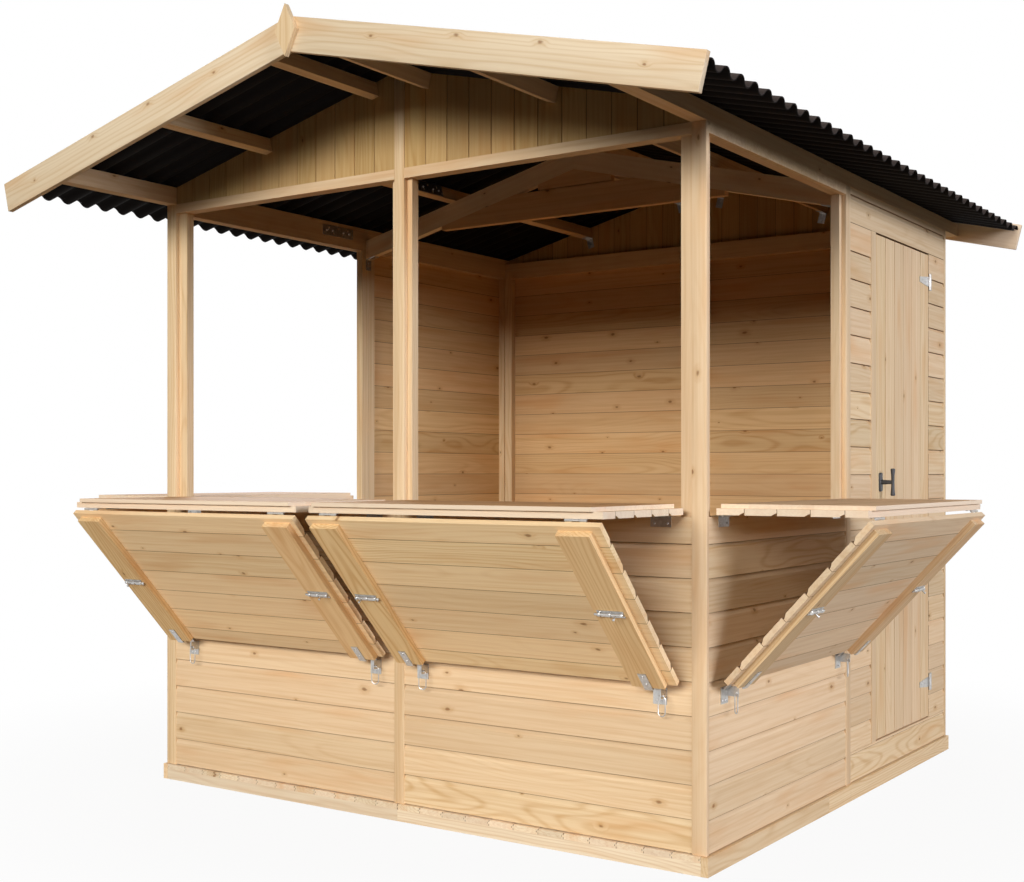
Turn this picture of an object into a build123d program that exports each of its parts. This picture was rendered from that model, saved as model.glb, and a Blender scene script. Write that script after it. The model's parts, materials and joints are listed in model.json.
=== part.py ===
from build123d import *
import os
from math import acos, atan2, cos, radians, sin, tan

# A panel-built wooden market stall, 2 m square on plan: a boarded floor on bearers, framed
# and shiplap-clad wall panels, four serving openings with fold-out counters, a side door and
# a low gabled roof of corrugated sheets on purlins. Millimetres, Z up, X to the right along
# the front, Y to the rear. The origin is on the ground, under the middle of the floor.

# ---- driving dimensions ---------------------------------------------------------------

# floor
floor_width = 2020
floor_depth = 1980
floor_height = 50
deck_thickness = 16
deck_boards_each_side = 12
deck_groove = 3
edge_board_thickness = 20
bearer_width = 45
bearer_count = 5

# walls
wall_setback = 8
wall_top = 1920
strip_thickness = 16
corner_strip_width = 42
mid_strip_width = 37
frame_depth = 28
stile_width = 36
rail_height = 36
panel_gap = 1
cladding_thickness = 14
cladding_gap = 3
shiplap_pitch = 88
cove_height = 15
cove_depth = 6
counter_height = 945
opening_top = 1890

# door, in the rear half of the right wall
door_rear_margin = 181
door_width = 535
door_bottom = 152
door_head_drop = 86
door_gap = 5
door_board_thickness = 16
door_ledge_thickness = 20
door_ledge_height = 95
door_boards = 6
jamb_strip_width = 42

# roof
roof_pitch = 13.8
purlin_width = 28
purlin_depth = 44
eave_purlin_height = 45
ridge_purlin_offset = 104
front_overhang = 446
rear_overhang = 145
purlin_front_length = 1250
eave_overhang = 220
corrugation_pitch = 76
corrugation_sides = 8
corrugation_height = 24
sheet_thickness = 3
barge_width = 92
barge_thickness = 18
barge_upstand = 8
barge_side_reach = 14
ridge_cap_wing = 125
finial_height = 140
finial_width = 72
finial_thickness = 16
finial_rise = 29
gable_groove = 4
gable_boards_each_side = 12

# truss under the purlins, at the middle of the depth
rafter_depth = 70
truss_thickness = 28
tie_bottom = 1936
tie_height = 97
tie_half_length = 585
gusset_half_length = 150
gusset_slot = 4

# serving flaps
leaf_clearance = 5
leaf_lap = 21
counter_gap = 29
counter_depth = 399
counter_top_thickness = 11
counter_board_thickness = 17
top_overhang = 10
brace_board_thickness = 15
fold_gap = 5
brace_foot_gap = 36
brace_end_clearance = 6
batten_width = 95
batten_thickness = 18
leaf_cove_height = 15
leaf_cove_depth = 7

# ironmongery
plate_thickness = 2.5
seat_gap = 0.3

# ---- places worked out from them ------------------------------------------------------

half_width = floor_width / 2 - wall_setback
half_depth = floor_depth / 2 - wall_setback
frame_x = half_width - strip_thickness
frame_y = half_depth - strip_thickness
inner_x = frame_x - frame_depth
strip_inner_x = half_width - corner_strip_width
wall_thickness = strip_thickness + frame_depth
mid_strip_edge = mid_strip_width / 2
boards_top = counter_height - counter_top_thickness
leaf_bottom = boards_top - counter_board_thickness
sill_top = leaf_bottom - leaf_clearance
cladding_start = floor_height + cladding_gap

slope = radians(roof_pitch)
eave_purlin_top = wall_top + eave_purlin_height
roof_rise = tan(slope)


def roof_underside(x):
    """Height of the underside of the sheets at a distance x from the ridge line."""
    return eave_purlin_top + (half_width - abs(x)) * roof_rise


purlin_drop = purlin_depth / cos(slope)
rafter_drop = rafter_depth / cos(slope)


# Each wall is drawn on a plane on the outer face of its frame, seen from outside: local x
# runs along the wall, local y is up and the plane's normal points out.
def wall_plane(side, outset=0.0):
    if side == "front":
        return Plane(origin=(0, -frame_y - outset, 0), x_dir=(1, 0, 0), z_dir=(0, -1, 0))
    if side == "rear":
        return Plane(origin=(0, frame_y + outset, 0), x_dir=(-1, 0, 0), z_dir=(0, 1, 0))
    if side == "right":
        return Plane(origin=(frame_x + outset, 0, 0), x_dir=(0, 1, 0), z_dir=(1, 0, 0))
    return Plane(origin=(-frame_x - outset, 0, 0), x_dir=(0, -1, 0), z_dir=(-1, 0, 0))


def save(part, name):
    part.label = name
    export_step(part, f"parts/{name}.step")


def box_on_plane(left, right, low, high):
    """A rectangle between two edges and two heights, in the open sketch."""
    with Locations(((left + right) / 2, (low + high) / 2)):
        Rectangle(right - left, high - low)


# ---- floor ----------------------------------------------------------------------------

deck_edge = floor_width / 2 - edge_board_thickness
deck_bottom = floor_height - deck_thickness
deck_pitch = (deck_edge - panel_gap / 2) / deck_boards_each_side

# tongue-and-groove floor boards, front to back, in a left and a right half
with BuildPart() as floor_boards:
    with BuildSketch(Plane.XZ.offset(-floor_depth / 2)):
        for side in (-1, 1):
            near, far = sorted((side * panel_gap / 2, side * deck_edge))
            box_on_plane(near, far, deck_bottom, floor_height)
        for side in (-1, 1):
            for joint in range(1, deck_boards_each_side):
                with Locations((side * (panel_gap / 2 + joint * deck_pitch), floor_height)):
                    Rectangle(deck_groove, deck_groove * 2, rotation=45, mode=Mode.SUBTRACT)
    extrude(amount=floor_depth)
save(floor_boards.part, "floor_boards")

with BuildPart() as floor_bearers:
    with BuildSketch(Plane.XY):
        with GridLocations(0, (floor_depth - bearer_width) / (bearer_count - 1), 1, bearer_count):
            Rectangle(2 * deck_edge, bearer_width)
    extrude(amount=deck_bottom)
save(floor_bearers.part, "floor_bearers")

edge_length = floor_depth / 2 - panel_gap / 2
with BuildPart() as floor_edge_boards:
    with BuildSketch(Plane.XY):
        with GridLocations(
            2 * deck_edge + edge_board_thickness, edge_length + panel_gap, 2, 2
        ):
            Rectangle(edge_board_thickness, edge_length)
    extrude(amount=floor_height)
save(floor_edge_boards.part, "floor_edge_boards")

# ---- wall frames ----------------------------------------------------------------------

# clear ends of each pair of panels: the side walls run the full depth, the front and rear
# walls fit between them
panel_end = {"front": inner_x, "rear": inner_x, "right": frame_y, "left": frame_y}
door_end = frame_y - door_rear_margin
door_start = door_end - door_width
door_top = opening_top - door_head_drop
door_height = door_top - door_bottom
jamb_latch = door_start - door_gap
jamb_hinge = door_end + door_gap


def upright_ends(side):
    """Both edges of each upright member of a wall's two panels, with the door's jambs."""
    end = panel_end[side]
    uprights = [(-end, stile_width - end), (-panel_gap / 2 - stile_width, -panel_gap / 2)]
    uprights += [(panel_gap / 2, panel_gap / 2 + stile_width), (end - stile_width, end)]
    if side == "right":
        uprights += [(jamb_latch - stile_width, jamb_latch), (jamb_hinge, jamb_hinge + stile_width)]
    return uprights


def rail_boxes(side, open_bays):
    """Ends and heights of the level members between the stiles: bottom and top rails, a sill
    under each opening, and a head over the door."""
    end = panel_end[side]
    bays = [(stile_width - end, -panel_gap / 2 - stile_width)]
    bays += [(panel_gap / 2 + stile_width, end - stile_width)]
    bottom_rail = (floor_height, floor_height + rail_height)
    top_rail = (opening_top, wall_top)
    sill = (sill_top - rail_height, sill_top)
    head = (door_top + door_gap, door_top + door_gap + rail_height)
    boxes = []
    for number, (left, right) in enumerate(bays):
        if side == "right" and number == 1:
            doorway = (jamb_latch, jamb_hinge)
            spans = [(left, jamb_latch - stile_width), doorway, (jamb_hinge + stile_width, right)]
            boxes.append((*doorway, *head))
        else:
            spans = [(left, right)]
        for span in spans:
            boxes += [(*span, *bottom_rail), (*span, *top_rail)]
        if number in open_bays:
            boxes.append((left, right, *sill))
    return boxes


# bays numbered from the left of each wall seen from outside
open_bays = {"front": (0, 1), "right": (0,), "left": (1,), "rear": ()}
wall_pairs = {"side": ("right", "left"), "gable": ("front", "rear")}
for pair, sides in wall_pairs.items():
    with BuildPart() as stiles:
        for side in sides:
            with BuildSketch(wall_plane(side)):
                for left, right in upright_ends(side):
                    box_on_plane(left, right, floor_height, wall_top)
            extrude(amount=-frame_depth)
    save(stiles.part, f"{pair}_wall_stiles")
    with BuildPart() as rails:
        for side in sides:
            with BuildSketch(wall_plane(side)):
                for box in rail_boxes(side, open_bays[side]):
                    box_on_plane(*box)
            extrude(amount=-frame_depth)
    save(rails.part, f"{pair}_wall_rails")

# ---- shiplap cladding -----------------------------------------------------------------


def cove(depth, height):
    """The scoop along a shiplap board's top edge, its deep end at the local origin."""
    deep, foot = (-depth, 0), (0, -height)
    belly = (-0.58 * depth, -0.58 * height)
    with BuildSketch() as scoop:
        with BuildLine():
            Line((0, 0), deep)
            ThreePointArc(deep, belly, foot)
            Line(foot, (0, 0))
        make_face()
    return scoop.sketch


def section_plane(face, start):
    """A plane across a wall at local x = start: local x points out, local y up."""
    return Plane(
        origin=face.from_local_coords((start, 0, 0)), x_dir=face.z_dir, z_dir=-face.x_dir
    )


wall_cove = cove(cove_depth, cove_height)
span_end = {"front": strip_inner_x, "rear": strip_inner_x, "right": frame_y, "left": frame_y}


def shiplap_panel(side, left, right, low, high):
    """Level shiplap boards as one profile, with coves at every joint up from the floor."""
    first = int((low - floor_height + cove_height) // shiplap_pitch) + 1
    last = int((high - floor_height - 1) // shiplap_pitch)
    with BuildPart() as panel:
        with BuildSketch(section_plane(wall_plane(side), left)):
            box_on_plane(0, cladding_thickness, low, high)
            for joint in range(first, last + 1):
                with Locations((cladding_thickness, floor_height + joint * shiplap_pitch)):
                    add(wall_cove, mode=Mode.SUBTRACT)
        extrude(amount=left - right)
    return panel.part


def in_bay(bay, near, far):
    """Both ends of a span in the left or the right bay of a wall, seen from outside."""
    return (-far, -near) if bay == 0 else (near, far)


def bay_span(side, bay):
    """Clear span between the cover strips of a bay."""
    return in_bay(bay, mid_strip_edge, span_end[side])


# the door bay: a board across below the door, short boards on both sides, a header over it
jamb_strip_start = jamb_latch - jamb_strip_width
side_low = door_bottom - door_gap
header_low = door_top + door_gap
door_bay = [
    (mid_strip_edge, frame_y, cladding_start, side_low - panel_gap),
    (mid_strip_edge, jamb_strip_start, side_low, header_low),
    (jamb_hinge, frame_y, side_low, header_low),
    (mid_strip_edge, frame_y, header_low + panel_gap, wall_top),
]
for side, bays in open_bays.items():
    with BuildPart() as cladding:
        for bay in (0, 1):
            if (side, bay) == ("right", 1):
                for left, right, low, high in door_bay:
                    add(shiplap_panel(side, left, right, low, high))
            else:
                top = sill_top if bay in bays else wall_top
                add(shiplap_panel(side, *bay_span(side, bay), cladding_start, top))
    save(cladding.part, f"{side}_cladding")

# ---- cover strips and lintels ---------------------------------------------------------

# corner strips on the front and rear, and a strip over the middle joint of every wall: those
# of the gable walls run up to the roof
with BuildPart() as cover_strips:
    for side in ("front", "rear", "right", "left"):
        gabled = side in ("front", "rear")
        with BuildSketch(wall_plane(side)):
            high = roof_underside(mid_strip_edge) if gabled else wall_top
            box_on_plane(-mid_strip_edge, mid_strip_edge, floor_height, high)
            if gabled:
                box_on_plane(-half_width, -strip_inner_x, floor_height, wall_top)
                box_on_plane(strip_inner_x, half_width, floor_height, wall_top)
        extrude(amount=strip_thickness)
save(cover_strips.part, "cover_strips")

with BuildPart() as lintels:
    for side, bays in open_bays.items():
        for bay in bays:
            with BuildSketch(wall_plane(side)):
                box_on_plane(*bay_span(side, bay), opening_top, wall_top)
            extrude(amount=strip_thickness)
save(lintels.part, "lintels")

with BuildPart() as jamb_strip:
    with BuildSketch(wall_plane("right")):
        box_on_plane(jamb_strip_start, jamb_latch, side_low, header_low)
    extrude(amount=strip_thickness)
save(jamb_strip.part, "door_jamb_strip")

# ---- purlins --------------------------------------------------------------------------

front_end = -(half_depth + front_overhang)
rear_end = half_depth + rear_overhang
roof_length = rear_end - front_end
eave_inner = half_width - wall_thickness
middle_purlin_offset = (ridge_purlin_offset + half_width - wall_thickness / 2) / 2
splice_y = front_end + purlin_front_length
across = Plane.XZ.offset(-rear_end)
purlin_runs = (
    (across, rear_end - splice_y - panel_gap / 2),
    (Plane.XZ.offset(panel_gap / 2 - splice_y), purlin_front_length - panel_gap / 2),
)


def slanted_purlin(offset, widen=0.0):
    """Outline of a purlin square to the roof slope, its top on the sheets' underside."""
    with BuildSketch() as outline:
        for side in (-1, 1):
            place = Location((side * offset, roof_underside(offset)), (0, 0, -side * roof_pitch))
            with Locations(place):
                Rectangle(
                    purlin_width + 2 * widen, purlin_depth + widen, align=(Align.CENTER, Align.MAX)
                )
    return outline.sketch


# each purlin is a front and a rear length, spliced with a plate over the joint
with BuildPart() as eave_purlins:
    for start, run in purlin_runs:
        with BuildSketch(start):
            with BuildLine():
                low_in, low_out = (eave_inner, wall_top), (half_width, wall_top)
                high_out = (half_width, roof_underside(half_width))
                high_in = (eave_inner, roof_underside(eave_inner))
                Polyline(low_in, low_out, high_out, high_in, close=True)
            make_face()
            mirror(about=Plane.YZ)
        extrude(amount=run)
save(eave_purlins.part, "eave_purlins")

with BuildPart() as roof_purlins:
    for start, run in purlin_runs:
        with BuildSketch(start):
            for offset in (middle_purlin_offset, ridge_purlin_offset):
                add(slanted_purlin(offset))
        extrude(amount=run)
save(roof_purlins.part, "roof_purlins")

# ---- gables ---------------------------------------------------------------------------

# upright boards from the wall top to the roof, notched over the purlins, in two halves
notch_gap = 1
board_pitch = (eave_inner - mid_strip_edge) / gable_boards_each_side
with BuildPart() as gable_boards:
    for side in ("front", "rear"):
        with BuildSketch(wall_plane(side)):
            with BuildLine():
                low_in, low_out = (mid_strip_edge, wall_top), (eave_inner - notch_gap, wall_top)
                high_out = (low_out[0], roof_underside(low_out[0]))
                high_in = (mid_strip_edge, roof_underside(mid_strip_edge))
                Polyline(low_in, low_out, high_out, high_in, close=True)
            make_face()
            mirror(about=Plane.YZ)
            for offset in (middle_purlin_offset, ridge_purlin_offset):
                add(slanted_purlin(offset, notch_gap), mode=Mode.SUBTRACT)
        extrude(amount=cladding_thickness)
    for side in ("front", "rear"):
        with BuildSketch(wall_plane(side, cladding_thickness)):
            for end in (-1, 1):
                for joint in range(1, gable_boards_each_side):
                    at = end * (mid_strip_edge + joint * board_pitch)
                    box_on_plane(at - gable_groove / 2, at + gable_groove / 2, wall_top, 2 * wall_top)
        extrude(amount=-gable_groove / 2, mode=Mode.SUBTRACT)
save(gable_boards.part, "gable_boards")

# a rail behind the foot of each gable half, on the wall's top rail
with BuildPart() as gable_rails:
    for side in ("front", "rear"):
        with BuildSketch(wall_plane(side)):
            for end in (-1, 1):
                left, right = sorted((end * panel_gap / 2, end * (eave_inner - notch_gap)))
                box_on_plane(left, right, wall_top, wall_top + rail_height)
        extrude(amount=-frame_depth)
save(gable_rails.part, "gable_rails")

# ---- roof truss -----------------------------------------------------------------------

rafter_half = -truss_thickness / 2
with BuildPart() as truss_rafters:
    with BuildSketch(Plane.XZ.offset(rafter_half)):
        with BuildLine():
            head, foot = panel_gap / 2, inner_x - seat_gap
            top_head = roof_underside(head) - purlin_drop
            top_foot = roof_underside(foot) - purlin_drop
            Polyline(
                (head, top_head),
                (foot, top_foot),
                (foot, top_foot - rafter_drop),
                (head, top_head - rafter_drop),
                close=True,
            )
        make_face()
        mirror(about=Plane.YZ)
    extrude(amount=truss_thickness)
save(truss_rafters.part, "truss_rafters")

tie_top = tie_bottom + tie_height
rafter_low = purlin_drop + rafter_drop


def under_rafters(x):
    return roof_underside(x) - rafter_low


# the tie's ends are cut to the slope under the rafters; a gusset fills the peak over it
tie_shoulder = half_width - (tie_top + rafter_low - eave_purlin_top) / roof_rise
with BuildPart() as truss_tie:
    with BuildSketch(Plane.XZ.offset(rafter_half)):
        with BuildLine():
            end_top = under_rafters(tie_half_length)
            half = [(tie_half_length, tie_bottom), (tie_half_length, end_top), (tie_shoulder, tie_top)]
            Polyline(*half, *[(-x, z) for x, z in reversed(half)], close=True)
        make_face()
    extrude(amount=truss_thickness)
save(truss_tie.part, "truss_tie")

with BuildPart() as truss_gusset:
    with BuildSketch(Plane.XZ.offset(rafter_half)):
        with BuildLine():
            low = tie_top + gusset_slot
            side_top = under_rafters(gusset_half_length)
            half = [(gusset_half_length, low), (gusset_half_length, side_top)]
            peak = (0, under_rafters(0))
            Polyline(*half, peak, *[(-x, z) for x, z in reversed(half)], close=True)
        make_face()
    extrude(amount=truss_thickness)
save(truss_gusset.part, "truss_gusset")

# ---- roof covering --------------------------------------------------------------------

sheet_run = (half_width + eave_overhang) / cos(slope)
corrugations = int((roof_length - 2 * sheet_thickness) // corrugation_pitch)


def wave_edge(rise):
    """One face of the corrugated sheet, a wave drawn with a few flats to each corrugation."""
    swing = (corrugation_height - sheet_thickness) / 2
    start = -corrugations * corrugation_pitch / 2
    points = []
    for step in range(corrugations * corrugation_sides + 1):
        turn = 360 * step / corrugation_sides
        along = start + step * corrugation_pitch / corrugation_sides
        points.append((along, sheet_thickness / 2 + swing * (1 + cos(radians(turn))) + rise))
    return points


def corrugated_sheet(side):
    """One roof slope's sheets, as a wave drawn across the slope and run down it."""
    down = Vector(side * cos(slope), 0, -sin(slope))
    middle = (front_end + rear_end) / 2
    head = Plane(origin=(0, middle, roof_underside(0)), x_dir=(0, side, 0), z_dir=down)
    upper, lower = wave_edge(sheet_thickness / 2), wave_edge(-sheet_thickness / 2)
    with BuildPart() as sheet:
        with BuildSketch(head):
            with BuildLine():
                Polyline(*upper, *reversed(lower), close=True)
            make_face()
        extrude(amount=sheet_run)
        # the two slopes are cut off plumb, a hair apart, on the ridge line
        split(bisect_by=Plane.YZ.offset(side * panel_gap), keep=Keep.TOP if side > 0 else Keep.BOTTOM)
    return sheet.part


save(corrugated_sheet(-1), "roof_sheet_left")
save(corrugated_sheet(1), "roof_sheet_right")

crest = (corrugation_height + seat_gap) / cos(slope)
cap_reach = ridge_cap_wing * cos(slope)
cap_drop = sheet_thickness / cos(slope)
with BuildPart() as ridge_cap:
    with BuildSketch(across.offset(sheet_thickness)):
        with BuildLine():
            foot = roof_underside(cap_reach) + crest
            peak = roof_underside(0) + crest
            Polyline(
                (-cap_reach, foot),
                (0, peak),
                (cap_reach, foot),
                (cap_reach, foot + cap_drop),
                (0, peak + cap_drop),
                (-cap_reach, foot + cap_drop),
                close=True,
            )
        make_face()
    extrude(amount=roof_length - 2 * sheet_thickness)
save(ridge_cap.part, "ridge_cap")

# ---- barge boards and finial ----------------------------------------------------------

board_top = (corrugation_height + barge_upstand) / cos(slope)
barge_reach = half_width + eave_overhang + barge_side_reach


# a pair of boards on each end of the roof, mitred at the peak and cut square below
with BuildPart() as barge_boards:
    for outer in (front_end, rear_end + barge_thickness):
        with BuildSketch(Plane.XZ.offset(-outer)):
            with BuildLine():
                head = panel_gap / 2
                peak = roof_underside(head) + board_top
                tip = roof_underside(barge_reach) + board_top
                run = barge_width * sin(slope)
                Polyline(
                    (head, peak),
                    (barge_reach, tip),
                    (barge_reach - run, tip - barge_width * cos(slope)),
                    (head, peak - barge_width / cos(slope)),
                    close=True,
                )
            make_face()
            mirror(about=Plane.YZ)
        extrude(amount=barge_thickness)
save(barge_boards.part, "barge_boards")

finial_top = roof_underside(0) + board_top + finial_rise
with BuildPart() as finial:
    with BuildSketch(Plane.XZ.offset(-front_end + barge_thickness)):
        with BuildLine():
            waist = finial_top - finial_height / 2
            Polyline(
                (0, finial_top),
                (finial_width / 2, waist),
                (0, finial_top - finial_height),
                (-finial_width / 2, waist),
                close=True,
            )
        make_face()
    extrude(amount=finial_thickness)
save(finial.part, "finial")

# ---- irons in the roof ----------------------------------------------------------------

splice_length = 170
splice_height = 40
bracket_flange = 42
bracket_width = 28


def purlin_place(side, offset, x, y):
    """A point of a purlin's outline, from the middle of its top edge and square to it."""
    top = Location((side * offset, roof_underside(offset)), (0, 0, -side * roof_pitch))
    return top * Location((x, y))


# a plate over each purlin's joint, on the face towards the ridge
with BuildPart() as splice_plates:
    with BuildSketch(Plane.XZ.offset(-splice_y - splice_length / 2)):
        for side in (-1, 1):
            plate_out = side * (eave_inner - plate_thickness / 2)
            with Locations((plate_out, wall_top + eave_purlin_height / 2)):
                Rectangle(plate_thickness, splice_height)
            for offset in (middle_purlin_offset, ridge_purlin_offset):
                inward = -side * (purlin_width + plate_thickness) / 2
                with Locations(purlin_place(side, offset, inward, -purlin_depth / 2)):
                    Rectangle(plate_thickness, splice_height)
    extrude(amount=splice_length)
save(splice_plates.part, "splice_plates")

# angle brackets under the purlins inside both gables, and under the rafters' feet
flange_top = (Align.CENTER, Align.MAX)
with BuildPart() as roof_brackets:
    for end in (-1, 1):
        for flange, reach in ((bracket_flange, plate_thickness), (plate_thickness, bracket_flange)):
            with BuildSketch(Plane.XZ.offset(end * frame_y)):
                for side in (-1, 1):
                    for offset in (middle_purlin_offset, ridge_purlin_offset):
                        with Locations(purlin_place(side, offset, 0, -purlin_depth)):
                            Rectangle(bracket_width, flange, align=flange_top)
            extrude(amount=-end * reach)
    with BuildSketch(Plane.XZ.offset(-bracket_width / 2)):
        with BuildLine():
            heel = (inner_x, under_rafters(inner_x))
            toe = (inner_x - bracket_flange, under_rafters(inner_x - bracket_flange))
            flange_drop = plate_thickness / cos(slope)
            Polyline(
                heel,
                toe,
                (toe[0], toe[1] - flange_drop),
                (inner_x - plate_thickness, under_rafters(inner_x - plate_thickness) - flange_drop),
                (inner_x - plate_thickness, heel[1] - bracket_flange),
                (inner_x, heel[1] - bracket_flange),
                close=True,
            )
        make_face()
        mirror(about=Plane.YZ)
    extrude(amount=bracket_width)
save(roof_brackets.part, "roof_brackets")

# ---- serving flaps --------------------------------------------------------------------

# A counter leaf turns up on hinges under its inner edge, with its top board between the
# stiles and its shiplap boards lapping over them. A brace leaf hangs from hinges under the
# counter's outer edge: it folds back to the wall as a strut, and straightened out with the
# counter stood up it shuts the opening.
knuckle_radius = 3
knuckle_offset = 3.5
knuckle_play = 0.5
knuckle_length = 20
hinge_strap = 24
hinge_drop = 29
hinge_root = 4
hinge_thickness = 1.2
hinge_inset = 72
knuckle_sides = 8
counter_first_joint = 77
brace_first_joint = 67
batten_top_inset = 15
batten_foot_inset = 4

# shut, the boards of the leaves stand just clear of the wall's frame
counter_edge = counter_gap + counter_depth
axis_height = leaf_bottom - knuckle_offset
wall_axis_out = leaf_clearance + counter_board_thickness + knuckle_offset
fold_axis_out = counter_edge + fold_gap / 2
shut_fold_height = axis_height + fold_axis_out - wall_axis_out
leaf_start = fold_gap / 2
leaf_foot = opening_top - brace_end_clearance - shut_fold_height
leaf_cove = cove(leaf_cove_depth, leaf_cove_height)

# the strut's slope keeps its foot a set gap off the boards
foot_reach = fold_axis_out - cladding_thickness - brace_foot_gap
foot_radius = (leaf_foot**2 + knuckle_offset**2) ** 0.5
brace_slope = acos(foot_reach / foot_radius) - atan2(knuckle_offset, leaf_foot)

# tongue irons on the battens' feet, and the bolts across the battens
tongue_width = 24
tongue_plate = 55
tongue_reach = 42
tongue_level = 2
bolt_length = 75
bolt_plate = 22
bolt_seat = 2
bolt_radius = 4
bolt_sides = 12
bolt_place = 0.5


def leaf_span(side, bay):
    """Ends of a leaf's boards, which lap over the stiles."""
    far = panel_end[side] - stile_width + leaf_lap
    return in_bay(bay, mid_strip_edge + leaf_clearance, far)


def opening_span(side, bay):
    """Ends of what shuts between the stiles: a counter's top board, and the battens."""
    near = panel_gap / 2 + stile_width + leaf_clearance
    return in_bay(bay, near, panel_end[side] - stile_width - leaf_clearance)


def counter_leaf(side, bay):
    """Shiplap boards whose coves face down, under a smooth top board that overhangs them at
    the outer edge."""
    left, right = leaf_span(side, bay)
    top_left, top_right = opening_span(side, bay)
    face = wall_plane(side)
    with BuildPart() as leaf:
        with BuildSketch(section_plane(face, left)):
            box_on_plane(counter_gap, counter_edge, leaf_bottom, boards_top)
            joint = counter_gap + counter_first_joint
            while joint < counter_edge:
                with Locations(Location((joint, leaf_bottom), (0, 0, -90))):
                    add(leaf_cove, mode=Mode.SUBTRACT)
                joint += shiplap_pitch
        extrude(amount=left - right)
        with BuildSketch(section_plane(face, top_left)):
            box_on_plane(counter_gap, counter_edge + top_overhang, boards_top, counter_height)
        extrude(amount=top_left - top_right)
    return leaf.part


def brace_plane(side, start):
    """A plane across a brace leaf: local x runs from its hinge to its foot, local y through
    it from the shiplap side to the batten side."""
    face = wall_plane(side)
    out, up = face.z_dir, Vector(0, 0, 1)
    axis = face.from_local_coords((start, axis_height, fold_axis_out))
    run = out * -cos(brace_slope) + up * -sin(brace_slope)
    return Plane(origin=axis, x_dir=run, z_dir=-face.x_dir)


batten_low = knuckle_offset + brace_board_thickness
batten_high = batten_low + batten_thickness


def batten_starts(side, bay):
    left, right = opening_span(side, bay)
    return left, right - batten_width


def brace_leaf(side, bay):
    """Shiplap boards as one profile, coves towards the wall, and two flat battens on the
    smooth side."""
    left, right = leaf_span(side, bay)
    with BuildPart() as leaf:
        with BuildSketch(brace_plane(side, left)):
            box_on_plane(leaf_start, leaf_foot, knuckle_offset, batten_low)
            joint = leaf_start + brace_first_joint
            while joint < leaf_foot:
                with Locations(Location((joint, knuckle_offset), (0, 0, -90))):
                    add(leaf_cove, mode=Mode.SUBTRACT)
                joint += shiplap_pitch
        extrude(amount=left - right)
        batten_top, batten_foot = leaf_start + batten_top_inset, leaf_foot - batten_foot_inset
        for start in batten_starts(side, bay):
            with BuildSketch(brace_plane(side, start)):
                box_on_plane(batten_top, batten_foot, batten_low, batten_high)
            extrude(amount=-batten_width)
    return leaf.part


def hinge_middles(side, bay):
    left, right = leaf_span(side, bay)
    return left + hinge_inset, right - hinge_inset


hinge_width = 3 * knuckle_length + 2 * knuckle_play


def end_knuckles(middle):
    """Starts of the two knuckles that close on the one in the middle of a hinge."""
    return middle - hinge_width / 2, middle + hinge_width / 2 - knuckle_length


def brace_irons(side, bay):
    """A tongue iron and a barrel bolt on each batten, and on the shiplap side a hinge strap
    with two end knuckles at each end of the upper edge."""
    mid_bolt = leaf_foot * bolt_place
    plate_start = leaf_foot - batten_foot_inset - tongue_plate
    cranked = leaf_foot + plate_thickness
    with BuildPart() as irons:
        for start in batten_starts(side, bay):
            centre = start + batten_width / 2
            with BuildSketch(brace_plane(side, centre - tongue_width / 2)):
                box_on_plane(plate_start, cranked, batten_high, batten_high + plate_thickness)
                box_on_plane(leaf_foot, cranked, tongue_level, batten_high)
                tip = cranked + tongue_reach
                box_on_plane(leaf_foot, tip, tongue_level, tongue_level + plate_thickness)
            extrude(amount=-tongue_width)
            with BuildSketch(brace_plane(side, centre - bolt_length / 2)):
                bolt_low, bolt_high = batten_high, batten_high + bolt_seat
                box_on_plane(mid_bolt - bolt_plate / 2, mid_bolt + bolt_plate / 2, bolt_low, bolt_high)
                with Locations((mid_bolt, bolt_high + bolt_radius / 2)):
                    RegularPolygon(bolt_radius, bolt_sides)
            extrude(amount=-bolt_length)
        strap_low = knuckle_offset - hinge_thickness
        for middle in hinge_middles(side, bay):
            with BuildSketch(brace_plane(side, middle - hinge_width / 2)):
                box_on_plane(hinge_root, hinge_strap, strap_low, knuckle_offset)
            extrude(amount=-hinge_width)
            for start in end_knuckles(middle):
                with BuildSketch(brace_plane(side, start)):
                    RegularPolygon(knuckle_radius, knuckle_sides)
                    box_on_plane(0, hinge_root, strap_low, knuckle_offset)
                extrude(amount=-knuckle_length)
    return irons.part


def counter_irons(side, bay):
    """Hinge straps under both edges of the counter, each with the middle knuckle."""
    face = wall_plane(side)
    strap_low = leaf_bottom - hinge_thickness
    with BuildPart() as irons:
        for middle in hinge_middles(side, bay):
            for axis_out, way in ((wall_axis_out, 1), (fold_axis_out, -1)):
                root, end = axis_out + way * hinge_root, axis_out + way * hinge_strap
                with BuildSketch(section_plane(face, middle - hinge_width / 2)):
                    box_on_plane(root, end, strap_low, leaf_bottom)
                extrude(amount=-hinge_width)
                with BuildSketch(section_plane(face, middle - knuckle_length / 2)):
                    with Locations((axis_out, axis_height)):
                        Circle(knuckle_radius)
                    box_on_plane(axis_out, root, strap_low, leaf_bottom)
                extrude(amount=-knuckle_length)
    return irons.part


flaps = {
    "front_left": ("front", 0),
    "front_right": ("front", 1),
    "right_side": ("right", 0),
    "left_side": ("left", 1),
}
for name, (side, bay) in flaps.items():
    save(counter_leaf(side, bay), f"{name}_counter")
    save(counter_irons(side, bay), f"{name}_counter_irons")
    save(brace_leaf(side, bay), f"{name}_brace")
    save(brace_irons(side, bay), f"{name}_brace_irons")

# ---- irons on the walls under the flaps -----------------------------------------------

lug_height = 26
lug_rise = 6
lug_plate_width = 40
lug_plate_height = 44
lug_reach = 34

tongue_tip = leaf_foot + plate_thickness + tongue_reach
tongue_tip_height = axis_height - tongue_tip * sin(brace_slope) - tongue_level * cos(brace_slope)
lug_top = tongue_tip_height + lug_rise

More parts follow.
